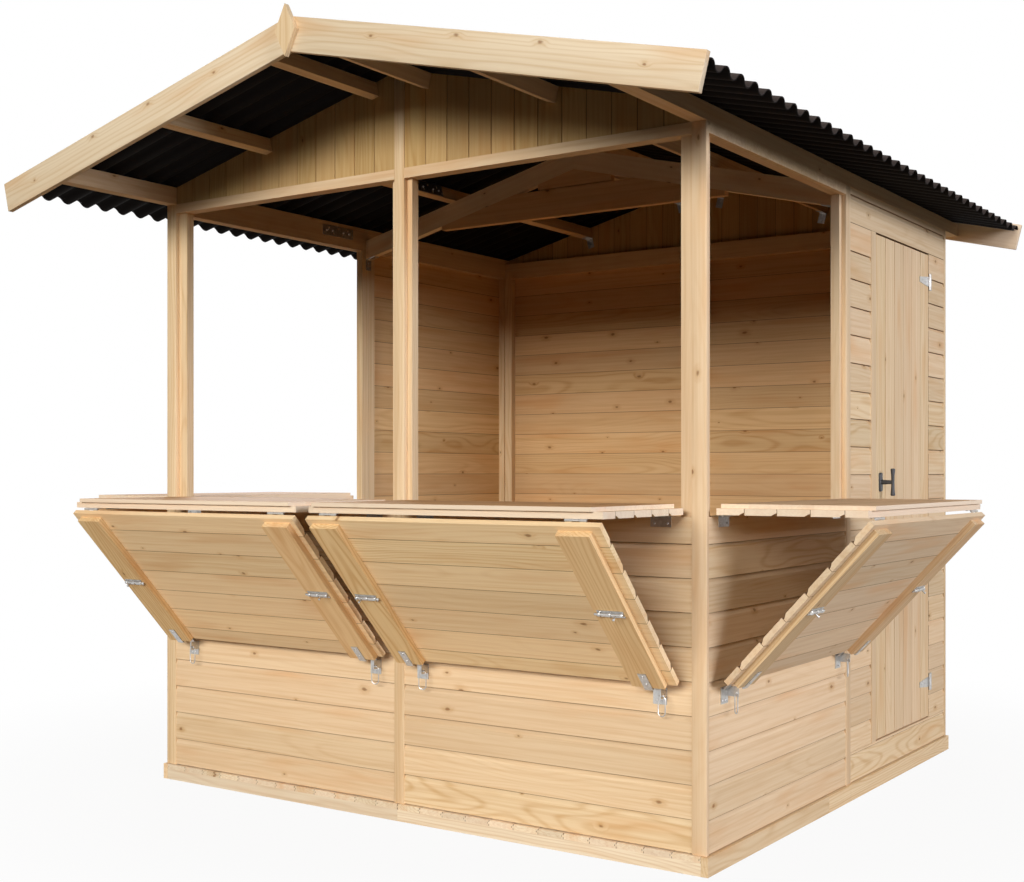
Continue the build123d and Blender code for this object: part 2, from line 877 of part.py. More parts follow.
# the counters' hinge plates on the cladding, with the end knuckles on short flanges
with BuildPart() as wall_irons:
    for side, bay in flaps.values():
        face, near = wall_plane(side), cladding_thickness
        flange_low = axis_height - hinge_thickness / 2
        flange_high = flange_low + hinge_thickness
        for middle in hinge_middles(side, bay):
            with BuildSketch(section_plane(face, middle - hinge_width / 2)):
                box_on_plane(near, near + hinge_thickness, axis_height - hinge_drop, flange_high)
            extrude(amount=-hinge_width)
            for start in end_knuckles(middle):
                with BuildSketch(section_plane(face, start)):
                    with Locations((wall_axis_out, axis_height)):
                        RegularPolygon(knuckle_radius, knuckle_sides)
                    box_on_plane(near, wall_axis_out, flange_low, flange_high)
                extrude(amount=-knuckle_length)
save(wall_irons.part, "wall_irons")

# a plate with a lug beside each brace tongue
with BuildPart() as brace_lugs:
    for side, bay in flaps.values():
        face, near = wall_plane(side), cladding_thickness
        for start in batten_starts(side, bay):
            centre = start + batten_width / 2
            with BuildSketch(section_plane(face, centre - lug_plate_width / 2)):
                box_on_plane(near, near + plate_thickness, lug_top - lug_plate_height, lug_top)
            extrude(amount=-lug_plate_width)
            with BuildSketch(section_plane(face, centre + tongue_width / 2 + leaf_clearance)):
                box_on_plane(near, near + lug_reach, lug_top - lug_height, lug_top)
            extrude(amount=-plate_thickness)
save(brace_lugs.part, "brace_lugs")

# ---- door -----------------------------------------------------------------------------

# upright boards flush with the cladding, on three ledges that lie between the jambs
board_face = cladding_thickness - door_board_thickness
door_pitch = door_width / door_boards
ledge_inset = 12
ledge_levels = (0.12, 0.5, 0.88)
with BuildPart() as door:
    with BuildSketch(wall_plane("right", board_face)):
        box_on_plane(door_start, door_end, door_bottom, door_top)
    extrude(amount=door_board_thickness)
    with BuildSketch(wall_plane("right", cladding_thickness)):
        for joint in range(1, door_boards):
            at = door_start + joint * door_pitch
            box_on_plane(at - gable_groove / 2, at + gable_groove / 2, door_bottom, door_top)
    extrude(amount=-gable_groove / 2, mode=Mode.SUBTRACT)
save(door.part, "door")

with BuildPart() as door_ledges:
    with BuildSketch(wall_plane("right", board_face)):
        for level in ledge_levels:
            middle = door_bottom + level * door_height
            box_on_plane(
                door_start + ledge_inset,
                door_end - ledge_inset,
                middle - door_ledge_height / 2,
                middle + door_ledge_height / 2,
            )
    extrude(amount=-door_ledge_thickness)
save(door_ledges.part, "door_ledges")

# T-hinges: a tapered strap on the door, a plate on the boards behind it, a knuckle between
strap_length = 100
strap_root = 36
strap_tip = 18
hinge_plate_width = 22
hinge_plate_tall = 58
door_knuckle_radius = 5
door_knuckle = 26
hinge_levels = (0.074, 0.942)
door_axis_out = cladding_thickness + door_knuckle_radius
door_axis_along = door_end + door_gap / 2

hinge_middle_heights = [door_bottom + level * door_height for level in hinge_levels]
hinge_axis_spot = (frame_x + door_axis_out, door_axis_along)

with BuildPart() as door_hinges:
    for middle in hinge_middle_heights:
        with BuildSketch(wall_plane("right", cladding_thickness)):
            with BuildLine():
                root, tip = door_axis_along, door_axis_along - strap_length
                neck = root - door_knuckle_radius - knuckle_play
                Polyline(
                    (root, middle - door_knuckle / 2),
                    (root, middle + door_knuckle / 2),
                    (neck, middle + door_knuckle / 2),
                    (neck, middle + strap_root / 2),
                    (tip, middle + strap_tip / 2),
                    (tip, middle - strap_tip / 2),
                    (neck, middle - strap_root / 2),
                    (neck, middle - door_knuckle / 2),
                    close=True,
                )
            make_face()
        extrude(amount=plate_thickness)
        with BuildSketch(Plane.XY.offset(middle - door_knuckle / 2)):
            with Locations(hinge_axis_spot):
                Circle(door_knuckle_radius)
        extrude(amount=door_knuckle)
save(door_hinges.part, "door_hinges")

# the fixed halves: a plate with an end knuckle above and below the strap's
with BuildPart() as door_hinge_plates:
    for middle in hinge_middle_heights:
        with BuildSketch(wall_plane("right", cladding_thickness)):
            plate_start = door_axis_along + door_knuckle_radius + knuckle_play
            plate_low, plate_high = middle - hinge_plate_tall / 2, middle + hinge_plate_tall / 2
            box_on_plane(plate_start, plate_start + hinge_plate_width, plate_low, plate_high)
            for low, high in (
                (plate_low, middle - door_knuckle / 2 - knuckle_play),
                (middle + door_knuckle / 2 + knuckle_play, plate_high),
            ):
                box_on_plane(door_axis_along, plate_start, low, high)
        extrude(amount=plate_thickness)
        for low in (plate_low, middle + door_knuckle / 2 + knuckle_play):
            with BuildSketch(Plane.XY.offset(low)):
                with Locations(hinge_axis_spot):
                    RegularPolygon(door_knuckle_radius, knuckle_sides)
            extrude(amount=(hinge_plate_tall - door_knuckle) / 2 - knuckle_play)
save(door_hinge_plates.part, "door_hinge_plates")

# T-handle on the latch side
handle_height = 993
handle_inset = 36
rose_height = 62
rose_width = 22
rose_thickness = 6
stem_radius = 6
stem_length = 38
grip_length = 90
grip_radius = 8
handle_along = door_start + handle_inset
handle_face = wall_plane("right", cladding_thickness)
with BuildPart() as door_handle:
    with BuildSketch(handle_face):
        with Locations((handle_along, handle_height)):
            RectangleRounded(rose_width, rose_height, rose_width / 3)
    extrude(amount=rose_thickness)
    with BuildSketch(handle_face):
        with Locations((handle_along, handle_height)):
            RegularPolygon(stem_radius, knuckle_sides)
    extrude(amount=rose_thickness + stem_length)
    grip_out = frame_x + cladding_thickness + rose_thickness + stem_length
    with BuildSketch(Plane.XY.offset(handle_height - grip_length / 2)):
        with Locations((grip_out, handle_along)):
            RegularPolygon(grip_radius, bolt_sides)
    extrude(amount=grip_length)
save(door_handle.part, "door_handle")
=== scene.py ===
# %% [markdown]
# A wooden market stall. The solids come from the part's own model, so every board, post and
# hinge is already in its place. This lesson gives them their finishes, adds the small
# ironwork, and sets up a plain studio around them.
# %% Load the frame
import json
from math import asin, cos, pi, radians, sin

import bpy
from mathutils import Matrix, Vector


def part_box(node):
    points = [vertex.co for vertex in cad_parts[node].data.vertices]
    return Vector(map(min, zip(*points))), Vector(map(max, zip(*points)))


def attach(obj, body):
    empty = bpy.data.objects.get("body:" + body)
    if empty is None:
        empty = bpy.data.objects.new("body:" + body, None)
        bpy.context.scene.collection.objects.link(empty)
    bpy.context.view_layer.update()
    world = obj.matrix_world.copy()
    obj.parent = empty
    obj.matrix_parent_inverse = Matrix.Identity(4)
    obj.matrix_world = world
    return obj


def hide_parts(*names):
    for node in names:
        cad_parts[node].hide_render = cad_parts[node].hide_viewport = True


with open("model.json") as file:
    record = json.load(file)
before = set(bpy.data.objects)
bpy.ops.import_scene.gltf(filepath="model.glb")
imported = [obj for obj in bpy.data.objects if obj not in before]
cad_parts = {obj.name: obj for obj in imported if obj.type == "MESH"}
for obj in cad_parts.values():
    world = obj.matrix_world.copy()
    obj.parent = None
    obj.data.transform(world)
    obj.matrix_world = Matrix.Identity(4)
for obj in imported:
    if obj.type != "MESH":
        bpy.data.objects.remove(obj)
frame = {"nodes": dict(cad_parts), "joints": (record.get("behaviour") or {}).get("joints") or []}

scene = bpy.context.scene
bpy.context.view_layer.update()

# %% [markdown]
# Lengths are worked out from the frame where they can be, so the looks follow the model when
# it changes. The box of a node gives its lowest and highest corner. The cover of a shiplap
# board and the pitch of the roof are those that the model was drawn with.
# %% Places taken from the frame
MM = 0.001
X, Y, Z = Vector((1, 0, 0)), Vector((0, 1, 0)), Vector((0, 0, 1))
SHIPLAP = 88 * MM
ROOF_PITCH = radians(13.8)
down_right = Vector((cos(ROOF_PITCH), 0, -sin(ROOF_PITCH)))
square_right = Vector((sin(ROOF_PITCH), 0, cos(ROOF_PITCH)))

deck_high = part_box("floor_boards")[1]
deck_top = deck_high.z
door_low, door_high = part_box("door")
sheet_low, sheet_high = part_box("roof_sheet_right")
joints = {joint["name"]: joint for joint in frame["joints"]}


def reach(corners, way):
    """How far some points reach along a direction: the least and the most."""
    values = [corner.dot(way) for corner in corners]
    return min(values), max(values)


def middle(corners, way):
    return sum(reach(corners, way)) / 2


def centre_of(corners):
    return Vector([middle(corners, way) for way in (X, Y, Z)])


print("deck top", round(deck_top, 3), "roof sheet up to", round(sheet_high.z, 3))

# %% [markdown]
# Colours are written as sRGB hex values, the way a paint chart gives them. Blender works in
# linear light, so one function turns a hex value into a linear colour.
# %% Colours
def colour(hex_value):
    channels = [int(hex_value[i:i + 2], 16) / 255 for i in (1, 3, 5)]
    return [c / 12.92 if c <= 0.04045 else ((c + 0.055) / 1.055) ** 2.4 for c in channels] + [1.0]


# %% [markdown]
# One small function adds a shader node. Inputs are given by name or number: a socket is
# linked, anything else is set as the value. The short functions after it stand for the nodes
# that are used again and again.
# %% Shader nodes
def new_material(name):
    material = bpy.data.materials.new(name)
    material.use_nodes = True
    material.node_tree.nodes.clear()
    return material


def add(tree, kind, inputs=(), **settings):
    made = tree.nodes.new(kind)
    for key, value in settings.items():
        setattr(made, key, value)
    for key, value in dict(inputs).items():
        if isinstance(value, bpy.types.NodeSocket):
            tree.links.new(value, made.inputs[key])
        else:
            made.inputs[key].default_value = value
    return made


def maths(tree, operation, *values):
    return add(tree, "ShaderNodeMath", enumerate(values), operation=operation).outputs[0]


def vector_maths(tree, operation, *vectors):
    made = add(tree, "ShaderNodeVectorMath", enumerate(vectors), operation=operation)
    return made.outputs["Value" if operation in ("DOT_PRODUCT", "LENGTH") else "Vector"]


def join(tree, *parts):
    return add(tree, "ShaderNodeCombineXYZ", enumerate(parts)).outputs[0]


def split(tree, vector):
    return add(tree, "ShaderNodeSeparateXYZ", {0: vector}).outputs


def coordinate(tree, kind="Object"):
    return add(tree, "ShaderNodeTexCoord").outputs[kind]


def noise(tree, vector, detail=2.0, roughness=0.5, scale=1.0):
    inputs = {"Vector": vector, "Scale": scale, "Detail": detail, "Roughness": roughness}
    return add(tree, "ShaderNodeTexNoise", inputs).outputs["Fac"]


def mix(tree, factor, first, second, blend="MIX"):
    inputs = {0: factor, 6: first, 7: second}
    made = add(tree, "ShaderNodeMix", inputs, data_type="RGBA", blend_type=blend)
    return made.outputs[2]


def ramp(tree, value, low, high):
    """A soft step: 0 below low, 1 above high."""
    inputs = {0: value, 1: low, 2: high, 3: 0.0, 4: 1.0}
    return add(tree, "ShaderNodeMapRange", inputs, interpolation_type="SMOOTHSTEP").outputs[0]


def surface(material, shader_inputs, height, strength, depth):
    """The last nodes of every finish: the bump, the shader and the output."""
    tree = material.node_tree
    bump = add(tree, "ShaderNodeBump", {"Height": height, "Strength": strength, "Distance": depth})
    shader = add(tree, "ShaderNodeBsdfPrincipled", {**shader_inputs, "Normal": bump.outputs[0]})
    add(tree, "ShaderNodeOutputMaterial", {"Surface": shader.outputs[0]})
    return material


# %% [markdown]
# Planed spruce. The boards are cut from a log, so the pattern is made the way the real one
# grows: rings round an axis that runs along the board a little below its face, bent slowly
# along the length, which the flat face cuts into long arches. Each board gets its own log
# axis, its own tone and its own knots from a random number drawn from the board's place.
# Growth rings of 2 mm are too fine to show at this size, so they are drawn 6 mm apart. Raw
# wood is matt, so it has hardly any gloss.
# %% Spruce
RING = 6 * MM
KNOT_CELLS = (3.4, 11.0)        # a metre of board has this many, along the grain and across it
FIBRES = 420                    # these three: how fine a pattern is across the grain
STREAKS = 95
STAINS = 14


def spruce(
    name, along, across, pitch=0.0, offset=0.0, light="#EFD4AC", dark="#CB9E68",
    variety=0.20, knots=0.5, gap=0.82, seam=0.0, mirror=False, folded=False,
    batten=None, top=None, hook=None, inside=None,
):
    """Planed spruce with its grain along one direction and, where there is a pitch, board
    joints across the other, one of them at the offset.
    variety, knots, gap: how far the tones differ, how many knots, how dark the joints are
    seam: where other boards go on along the grain, or None where each is one length
    mirror, folded: the pattern starts again from the middle, or from the roof's ridge
    batten: (direction, level) past which the grain turns, to follow the battens
    top: (level, colour) of a counter's smooth upper face
    hook: (level, half its height, step) of the tongue that moves a floor's joint aside
    inside: (level, tint) of a painted shade: the faces that lie nearer the stall's middle than the
    level are multiplied by the tint"""
    material = new_material(name)
    tree = material.node_tree

    def calc(operation, *values):
        return maths(tree, operation, *values)

    def invert(value):
        return calc("SUBTRACT", 1.0, value)

    def between(factor, first, second):
        return calc("MULTIPLY_ADD", factor, calc("SUBTRACT", second, first), first)

    place = coordinate(tree)
    if folded:
        x, y, z = split(tree, place)
        place = join(tree, calc("ABSOLUTE", x), y, z)
    a = vector_maths(tree, "DOT_PRODUCT", place, along)
    c = vector_maths(tree, "DOT_PRODUCT", place, across)
    n = vector_maths(tree, "DOT_PRODUCT", place, along.cross(across))

    # the number of the board that a point is on, and how near it is to a joint
    half = 1.0 if seam is None else calc("GREATER_THAN", a, seam)
    if mirror:
        half = calc("SIGN", c)
        c = calc("ABSOLUTE", c)
    if hook:
        tongue = calc("COMPARE", n, hook[0], hook[1])
        c = calc("MULTIPLY_ADD", tongue, hook[2], c)
    if pitch:
        step = calc("DIVIDE", calc("SUBTRACT", c, offset), pitch)
        board = calc("FLOOR", step)
        across_board = calc("FRACT", step)
        edge = calc("MINIMUM", across_board, invert(across_board))
        joint = invert(ramp(tree, edge, 0.4 * MM / pitch, 1.3 * MM / pitch))
    else:
        # single timbers: one to each half metre
        board = calc("FLOOR", calc("MULTIPLY_ADD", c, 2.0, 0.5))
        deep = calc("FLOOR", calc("MULTIPLY_ADD", n, 2.0, 0.5))
        half = calc("MULTIPLY_ADD", deep, 7.0, half)
        joint = None
    if batten:
        out = vector_maths(tree, "DOT_PRODUCT", place, batten[0])
        beyond = calc("GREATER_THAN", out, batten[1])
        board = between(beyond, board, calc("FLOOR", calc("MULTIPLY", a, 2.0)))
        a, c = between(beyond, a, c), between(beyond, c, a)
        joint = calc("MULTIPLY", joint, invert(beyond))
    draw = add(tree, "ShaderNodeTexWhiteNoise", {"Vector": join(tree, board, half, 3.7)})
    r1, r2, r3 = split(tree, draw.outputs["Color"])

    # every board reads its own stretch of the patterns
    a = calc("MULTIPLY_ADD", r1, 40.0, a)
    line = calc("MULTIPLY_ADD", r2, 9.0, c)

    def stretched(long, wide, third):
        """The place on the board, scaled along the grain and across it."""
        return join(tree, calc("MULTIPLY", a, long), calc("MULTIPLY", line, wide), third)

    # knots: one in some of the cells, round, and set in the face
    long, wide = KNOT_CELLS
    spread = stretched(long, wide, 0.0)
    cells = add(
        tree, "ShaderNodeTexVoronoi", {"Vector": spread, "Scale": 1.0, "Randomness": 0.85},
        voronoi_dimensions="2D",
    )
    away = vector_maths(tree, "SUBTRACT", spread, cells.outputs["Position"])
    away = vector_maths(tree, "MULTIPLY", away, (0.55 / long, 1 / wide, 0))
    distance = vector_maths(tree, "LENGTH", away)
    luck = split(tree, cells.outputs["Color"])
    present = calc("LESS_THAN", luck[0], knots)
    radius = calc("MULTIPLY_ADD", luck[1], 4.5 * MM, 1.8 * MM)
    ragged = noise(tree, stretched(60.0, 160.0, r2))
    near = calc("SUBTRACT", calc("DIVIDE", distance, radius), 0.55)
    near = calc("MULTIPLY_ADD", ragged, 1.1, near)
    knot = calc("MULTIPLY", present, invert(ramp(tree, near, 0.35, 1.25)))
    halo = calc("MULTIPLY", present, invert(ramp(tree, near, 0.8, 4.0)))

    # growth rings round the log's axis, pushed aside by the knots
    wander = noise(tree, stretched(1.3, 5.0, r3), roughness=0.45)
    centre = calc("MULTIPLY_ADD", r3, 0.12, calc("ADD", line, -0.06))
    sunk = calc("MULTIPLY_ADD", r1, 0.05, 0.03)
    ring_c = calc("PINGPONG", centre, 0.07)
    ring_n = calc("ADD", calc("PINGPONG", n, 0.03), sunk)
    from_axis = join(tree, ring_c, ring_n, calc("MULTIPLY", wander, 0.11))
    from_axis = vector_maths(tree, "LENGTH", from_axis)
    pushed = calc("MULTIPLY_ADD", halo, 5 * MM, from_axis)
    rings = calc("SINE", calc("MULTIPLY", pushed, 2 * pi / RING))
    late = calc("POWER", calc("MULTIPLY_ADD", rings, 0.5, 0.5), 3.0)

    # fibres, and broad soft stains
    fibre = noise(tree, stretched(9.0, FIBRES, calc("MULTIPLY", n, FIBRES)), 3.0, 0.6)
    streak = noise(tree, stretched(1.6, STREAKS, calc("MULTIPLY", n, STREAKS)))
    stain = noise(tree, stretched(2.2, STAINS, r1))

    # in some boards the rings show as arches, in others hardly at all
    ring_weight = calc("MULTIPLY_ADD", calc("POWER", r3, 2.0), 0.30, 0.06)
    if batten:
        ring_weight = calc("MULTIPLY_ADD", beyond, 0.20, ring_weight)
    grain = calc("ADD", calc("MULTIPLY", late, ring_weight), calc("MULTIPLY", fibre, 0.30))
    grain = calc("MULTIPLY_ADD", ramp(tree, streak, 0.35, 0.75), 0.27, grain)
    grain = calc("ADD", grain, calc("MULTIPLY", halo, 0.30))
    base = mix(tree, grain, colour(light), colour(dark))
    warm = mix(tree, ramp(tree, stain, 0.50, 0.78), base, colour("#DDAA73"))
    base = mix(tree, 0.55, base, warm)

    # the board's own tone, a little greener or redder, and then the knots
    tone = calc("MULTIPLY_ADD", r2, variety, 0.98 - variety / 2)
    green = calc("MULTIPLY_ADD", r3, 0.035, calc("SUBTRACT", tone, 0.0175))
    tones = add(tree, "ShaderNodeCombineColor", {0: tone, 1: green, 2: tone})
    base = mix(tree, 1.0, base, tones.outputs[0], "MULTIPLY")
    base = mix(tree, calc("MULTIPLY", knot, 0.72), base, colour("#875A33"))
    if batten:
        base = mix(tree, beyond, base, colour("#F6EFE4"), "MULTIPLY")
    # painted shade: faces nearer the middle than the level, or a whole node, are multiplied by a
    # darker, warmer tint
    if inside:
        in_painted_shade = calc("LESS_THAN", calc("ABSOLUTE", n), inside[0])
        base = mix(tree, in_painted_shade, base, colour(inside[1]), "MULTIPLY")
    if top:
        # the sawn edges are paler than the planed faces, and the upper face has no joints
        level = vector_maths(tree, "DOT_PRODUCT", place, Z)
        upright = calc("ABSOLUTE", split(tree, coordinate(tree, "Normal"))[2])
        sawn = calc("MULTIPLY", invert(ramp(tree, upright, 0.3, 0.7)), 0.4)
        base = mix(tree, sawn, base, colour("#F8EBD8"))
        planed = mix(tree, ramp(tree, grain, 0.15, 0.75), colour(top[1]), colour("#A87648"))
        base = mix(tree, calc("GREATER_THAN", level, top[0]), base, planed)
        joint = calc("MULTIPLY", joint, calc("LESS_THAN", level, top[0] - 11 * MM))
    height = calc("ADD", calc("MULTIPLY", late, 0.35), calc("MULTIPLY", fibre, 0.5))
    if joint is not None:
        base = mix(tree, calc("MULTIPLY", joint, gap), base, colour("#6E4A2C"))
        height = calc("MULTIPLY_ADD", joint, -3.0, height)
    look = {"Base Color": base, "Roughness": 0.7, "IOR": 1.5, "Specular IOR Level": 0.1}
    return surface(material, look, height, 0.5, 0.4 * MM)


def finish_nodes(material, *names):
    for name in names:
        slots = frame["nodes"][name].data.materials
        slots.clear()
        slots.append(material)
    print(material.name, "on", len(names), "nodes")


# %% [markdown]
# Wall boards run level, so the grain follows each wall. Posts and strips stand up, purlins
# and floor boards run front to back. The inner faces of the walls, the truss and the gables
# get a painted shade: their colour is multiplied by a deeper, warmer tint. The deck and its
# bearers are of a paler sort.
# %% Spruce on the walls
# painted shade: the tint that darkens and warms the walls' inner faces and the truss
PAINTED_SHADE_TINT = "#F1E2CE"
EVERYWHERE = 9.0        # a level further out than anything, so that it takes in a whole node


def inner_face(axis, *names):
    """How far out the inner face of some walls lies, from the middle of the stall."""
    return max(min(abs(corner[axis]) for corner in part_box(name)) for name in names) + 1 * MM


# each pair of walls has its own painted shade tint for its inner faces
for title, grain, axis, tint, pair in (
    ("spruce boards, front and rear walls", X, 1, PAINTED_SHADE_TINT, ("front_cladding", "rear_cladding")),
    ("spruce boards, side walls", Y, 0, "#FDF0D8", ("right_cladding", "left_cladding")),
):
    face = inner_face(axis, *pair)
    print("inner face at", round(face, 4))
    finish_nodes(
        spruce(title, grain, Z, pitch=SHIPLAP, offset=deck_top, inside=(face, tint)), *pair,
    )
finish_nodes(
    spruce("spruce uprights", Z, X, seam=None, knots=0.22),
    "side_wall_stiles", "gable_wall_stiles", "cover_strips", "door_jamb_strip", "finial",
)
finish_nodes(
    spruce("spruce rails, along x", X, Z, knots=0.3),
    "gable_wall_rails", "gable_rails", "lintels",
)
finish_nodes(
    spruce("spruce floor bearers", X, Z, knots=0.3, light="#F3E1C6", dark="#D2AE82"),
    "floor_bearers",
)
# painted shade: the whole truss tie and gusset are multiplied by the painted shade tint
finish_nodes(
    spruce("spruce truss tie", X, Z, seam=None, knots=0.3, inside=(EVERYWHERE, PAINTED_SHADE_TINT)),
    "truss_tie", "truss_gusset",
)
splice_low, splice_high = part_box("splice_plates")
splice = (splice_low.y + splice_high.y) / 2
finish_nodes(
    spruce("spruce rails and purlins, along y", Y, Z, seam=splice, knots=0.3),
    "side_wall_rails", "eave_purlins", "roof_purlins", "floor_edge_boards",
)
GABLE_PITCH, GABLE_START = 78.2 * MM, 18.5 * MM     # the grooves, counted from the middle
# painted shade: the whole of the gable boards is multiplied by a darker tint than the walls'
finish_nodes(
    spruce(
        "spruce gable boards", Z, X, pitch=GABLE_PITCH, offset=GABLE_START, mirror=True,
        inside=(EVERYWHERE, "#DFD3B4"),
    ),
    "gable_boards",
)
DECK_GAP = 0.5 * MM                                 # half the gap between the deck's halves
deck_pitch = (deck_high.x - DECK_GAP) / 12
tongue = (8 * MM - deck_top, 2.5 * MM, 5 * MM)
finish_nodes(
    spruce(
        "spruce deck", Y, X, pitch=deck_pitch, offset=DECK_GAP, mirror=True, hook=tongue,
        light="#F4E2C4", dark="#D0A878",
    ),
    "floor_boards",
)
door_pitch = (door_high.y - door_low.y) / 6
finish_nodes(
    spruce(
        "spruce door boards", Z, Y, pitch=door_pitch, offset=door_low.y, seam=None, knots=0.2,
        variety=0.08, gap=0.4,
    ),
    "door",
)
finish_nodes(spruce("spruce door ledges", Y, Z, seam=None), "door_ledges")

# %% [markdown]
# The barge boards and rafters follow the roof. Their grain runs along the slope, so the two
# sides need their own direction: an absolute value folds the pattern over at the ridge.
# %% Spruce on the slopes
finish_nodes(
    spruce(
        "spruce barge boards", down_right, square_right, seam=None, knots=0.35, folded=True,
        light="#F2DCBD", dark="#D8B78D",
    ),
    "barge_boards", "truss_rafters",
)

# %% [markdown]
# Each flap is a counter leaf and a brace leaf. Counter boards run along the wall and carry a
# smooth brownish top. A brace leaf slopes back to the wall, so its boards are counted along
# the slope, and past the boards' thickness the grain turns to follow the battens. A small
# class keeps the directions and levels of a flap, which the screws and bolts need again.
# %% Spruce on the flaps
BRACE_SLOPE = radians(180 - joints["front_left_brace_hinge"]["range_deg"][1])
COUNTER_JOINT = 77 * MM         # from the counter's inner edge to its first joint
BRACE_JOINT = 69.5 * MM         # from the brace's hinge to its first joint
BATTEN_LEVEL = 18.6 * MM        # from the hinge's axis to where the battens start


class Flap:
    """A flap's directions, and the places that its pieces are measured from."""

    def __init__(self, name, out):
        self.name = name
        self.out = out
        self.along = Z.cross(out)
        low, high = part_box(name + "_counter")
        self.inner = min(abs(low.dot(out)), abs(high.dot(out)))
        self.ends = sorted((low.dot(self.along), high.dot(self.along)))
        self.top = high.z
        hinge = Vector(joints[name + "_brace_hinge"]["pos_m"])
        self.hinge = hinge - self.along * hinge.dot(self.along)
        self.run = out * -cos(BRACE_SLOPE) - Z * sin(BRACE_SLOPE)
        self.facing = out * sin(BRACE_SLOPE) - Z * cos(BRACE_SLOPE)

    def at(self, out, along, up):
        """A point from its distance off the stall's middle, its place along, and its height."""
        return self.out * out + self.along * along + Z * up

    def on_brace(self, down, along, off):
        """A point of the brace: down from its hinge, along it, and off its face."""
        return self.hinge + self.run * down + self.along * along + self.facing * off

    def from_hinge(self, corners, way):
        return [value - self.hinge.dot(way) for value in reach(corners, way)]

    def holds(self, corners):
        """Whether an iron on the walls is one of this flap's."""
        on_wall = abs(self.inner - reach(corners, self.out)[0]) < 20 * MM
        return on_wall and self.ends[0] < middle(corners, self.along) < self.ends[1]


flaps = [
    Flap("front_left", -Y), Flap("front_right", -Y), Flap("right_side", X), Flap("left_side", -X),
]
# the right side's flap has colours of its own: its counter top is paler, a painted light, and its
# brace is darker than the other braces, a painted shade
PAINTED_LIGHT_COUNTER_TOPS = {"right_side": "#E6BE92"}
BRACE_PAINTED_LIGHT_AND_SHADE = {"right_side": ("#E6CFAB", "#C8A276")}
for flap in flaps:
    spoken = flap.name.replace("_", " ")
    counter = spruce(
        "spruce counter, " + spoken, flap.along, flap.out, pitch=SHIPLAP,
        offset=flap.inner + COUNTER_JOINT,
        top=(flap.top - 0.2 * MM, PAINTED_LIGHT_COUNTER_TOPS.get(flap.name, "#D6A572")),
    )
    finish_nodes(counter, flap.name + "_counter")
    # the braces' colours are paler than the walls', a painted light on boards that face down; the
    # right one's are darker, a painted shade
    pale, deep = BRACE_PAINTED_LIGHT_AND_SHADE.get(flap.name, ("#FADEB0", "#D9AC74"))
    brace = spruce(
        "spruce brace, " + spoken, flap.along, flap.run, pitch=SHIPLAP, light=pale, dark=deep,
        offset=flap.hinge.dot(flap.run) + BRACE_JOINT,
        batten=(flap.facing, flap.hinge.dot(flap.facing) + BATTEN_LEVEL),
    )
    finish_nodes(brace, flap.name + "_brace")

# %% [markdown]
# Corrugated bitumen sheet: organic fibre soaked in bitumen. It is matt, almost black with a
# brown cast, and slightly felted. A fine noise gives the felt, a broad one the dull patches.
# The faces that look down are near black: partly the raw bitumen of the unpainted underside,
# and partly a painted shade.
# %% Bitumen sheet
def bitumen():
    material = new_material("corrugated bitumen sheet, dark brown")
    tree = material.node_tree
    place = coordinate(tree)
    felt = noise(tree, place, detail=3.0, scale=900.0)
    patch = noise(tree, place, detail=3.0, scale=6.0)
    mottle = maths(tree, "MULTIPLY_ADD", felt, 0.6, maths(tree, "MULTIPLY", patch, 0.4))
    painted = mix(tree, mottle, colour("#312A27"), colour("#554A44"))
    # partly painted shade, partly the raw underside: faces that look down turn near black
    upward = split(tree, coordinate(tree, "Normal"))[2]
    base = mix(tree, ramp(tree, upward, -0.3, 0.1), colour("#100C0A"), painted)
    look = {"Base Color": base, "Roughness": 0.78, "IOR": 1.5, "Specular IOR Level": 0.08}
    return surface(material, look, felt, 0.6, 0.5 * MM)


bitumen_sheet = bitumen()
finish_nodes(bitumen_sheet, "roof_sheet_left", "roof_sheet_right", "ridge_cap")

# %% [markdown]
# Zinc plating is a thin bright layer over pressed steel. It reads as a light grey metal with
# a soft, broken sheen: a noise shifts its tint and its roughness together. The handle is
# powder-coated black, which is a paint and so not metallic.
# %% Metals
def metal(name, base, metallic, rough, spangle):
    material = new_material(name)
    tree = material.node_tree
    cloud = noise(tree, coordinate(tree), scale=140.0)
    tint = mix(tree, cloud, colour(base), colour(spangle))
    worn = maths(tree, "MULTIPLY_ADD", cloud, 0.22, rough - 0.11)
    look = {"Base Color": tint, "Metallic": metallic, "Roughness": worn}
    return surface(material, look, cloud, 0.25, 0.2 * MM)


zinc = metal("zinc-plated steel", "#D2D0CD", 1.0, 0.34, "#9E9B97")
finish_nodes(
    zinc, "wall_irons", "brace_lugs", "splice_plates", "roof_brackets", "door_hinges",
    "door_hinge_plates",
    *(flap.name + part for flap in flaps for part in ("_brace_irons", "_counter_irons")),
)
black = metal("black powder coat on steel", "#2B2A2A", 0.0, 0.42, "#383637")
finish_nodes(black, "door_handle")

# %% [markdown]
# The small parts are modelled once at full size, lying flat at the origin, and then set out
# on the stall. A few helpers keep this short: start adds a primitive with nothing else
# selected, pick opens a piece in edit mode with only the parts that pass a test selected, and
# seat makes the matrix that stands a model on a surface. set_out copies a model to all its
# seats, joins the copies, gives the piece its material, hangs it on its body and hides the
# node that it stands for.
# %% Modelling helpers
def select_only(piece):
    bpy.ops.object.select_all(action="DESELECT")
    piece.select_set(True)
    bpy.context.view_layer.objects.active = piece


def open_all(piece):
    """Edit mode, with the whole mesh selected."""
    select_only(piece)
    bpy.ops.object.mode_set(mode="EDIT")
    bpy.ops.mesh.select_all(action="SELECT")


def start(primitive, name, **sizes):
    bpy.ops.object.select_all(action="DESELECT")
    primitive(**sizes)
    made = bpy.context.active_object
    made.name = made.data.name = name
    bpy.ops.object.transform_apply(location=True, rotation=True, scale=True)
    return made


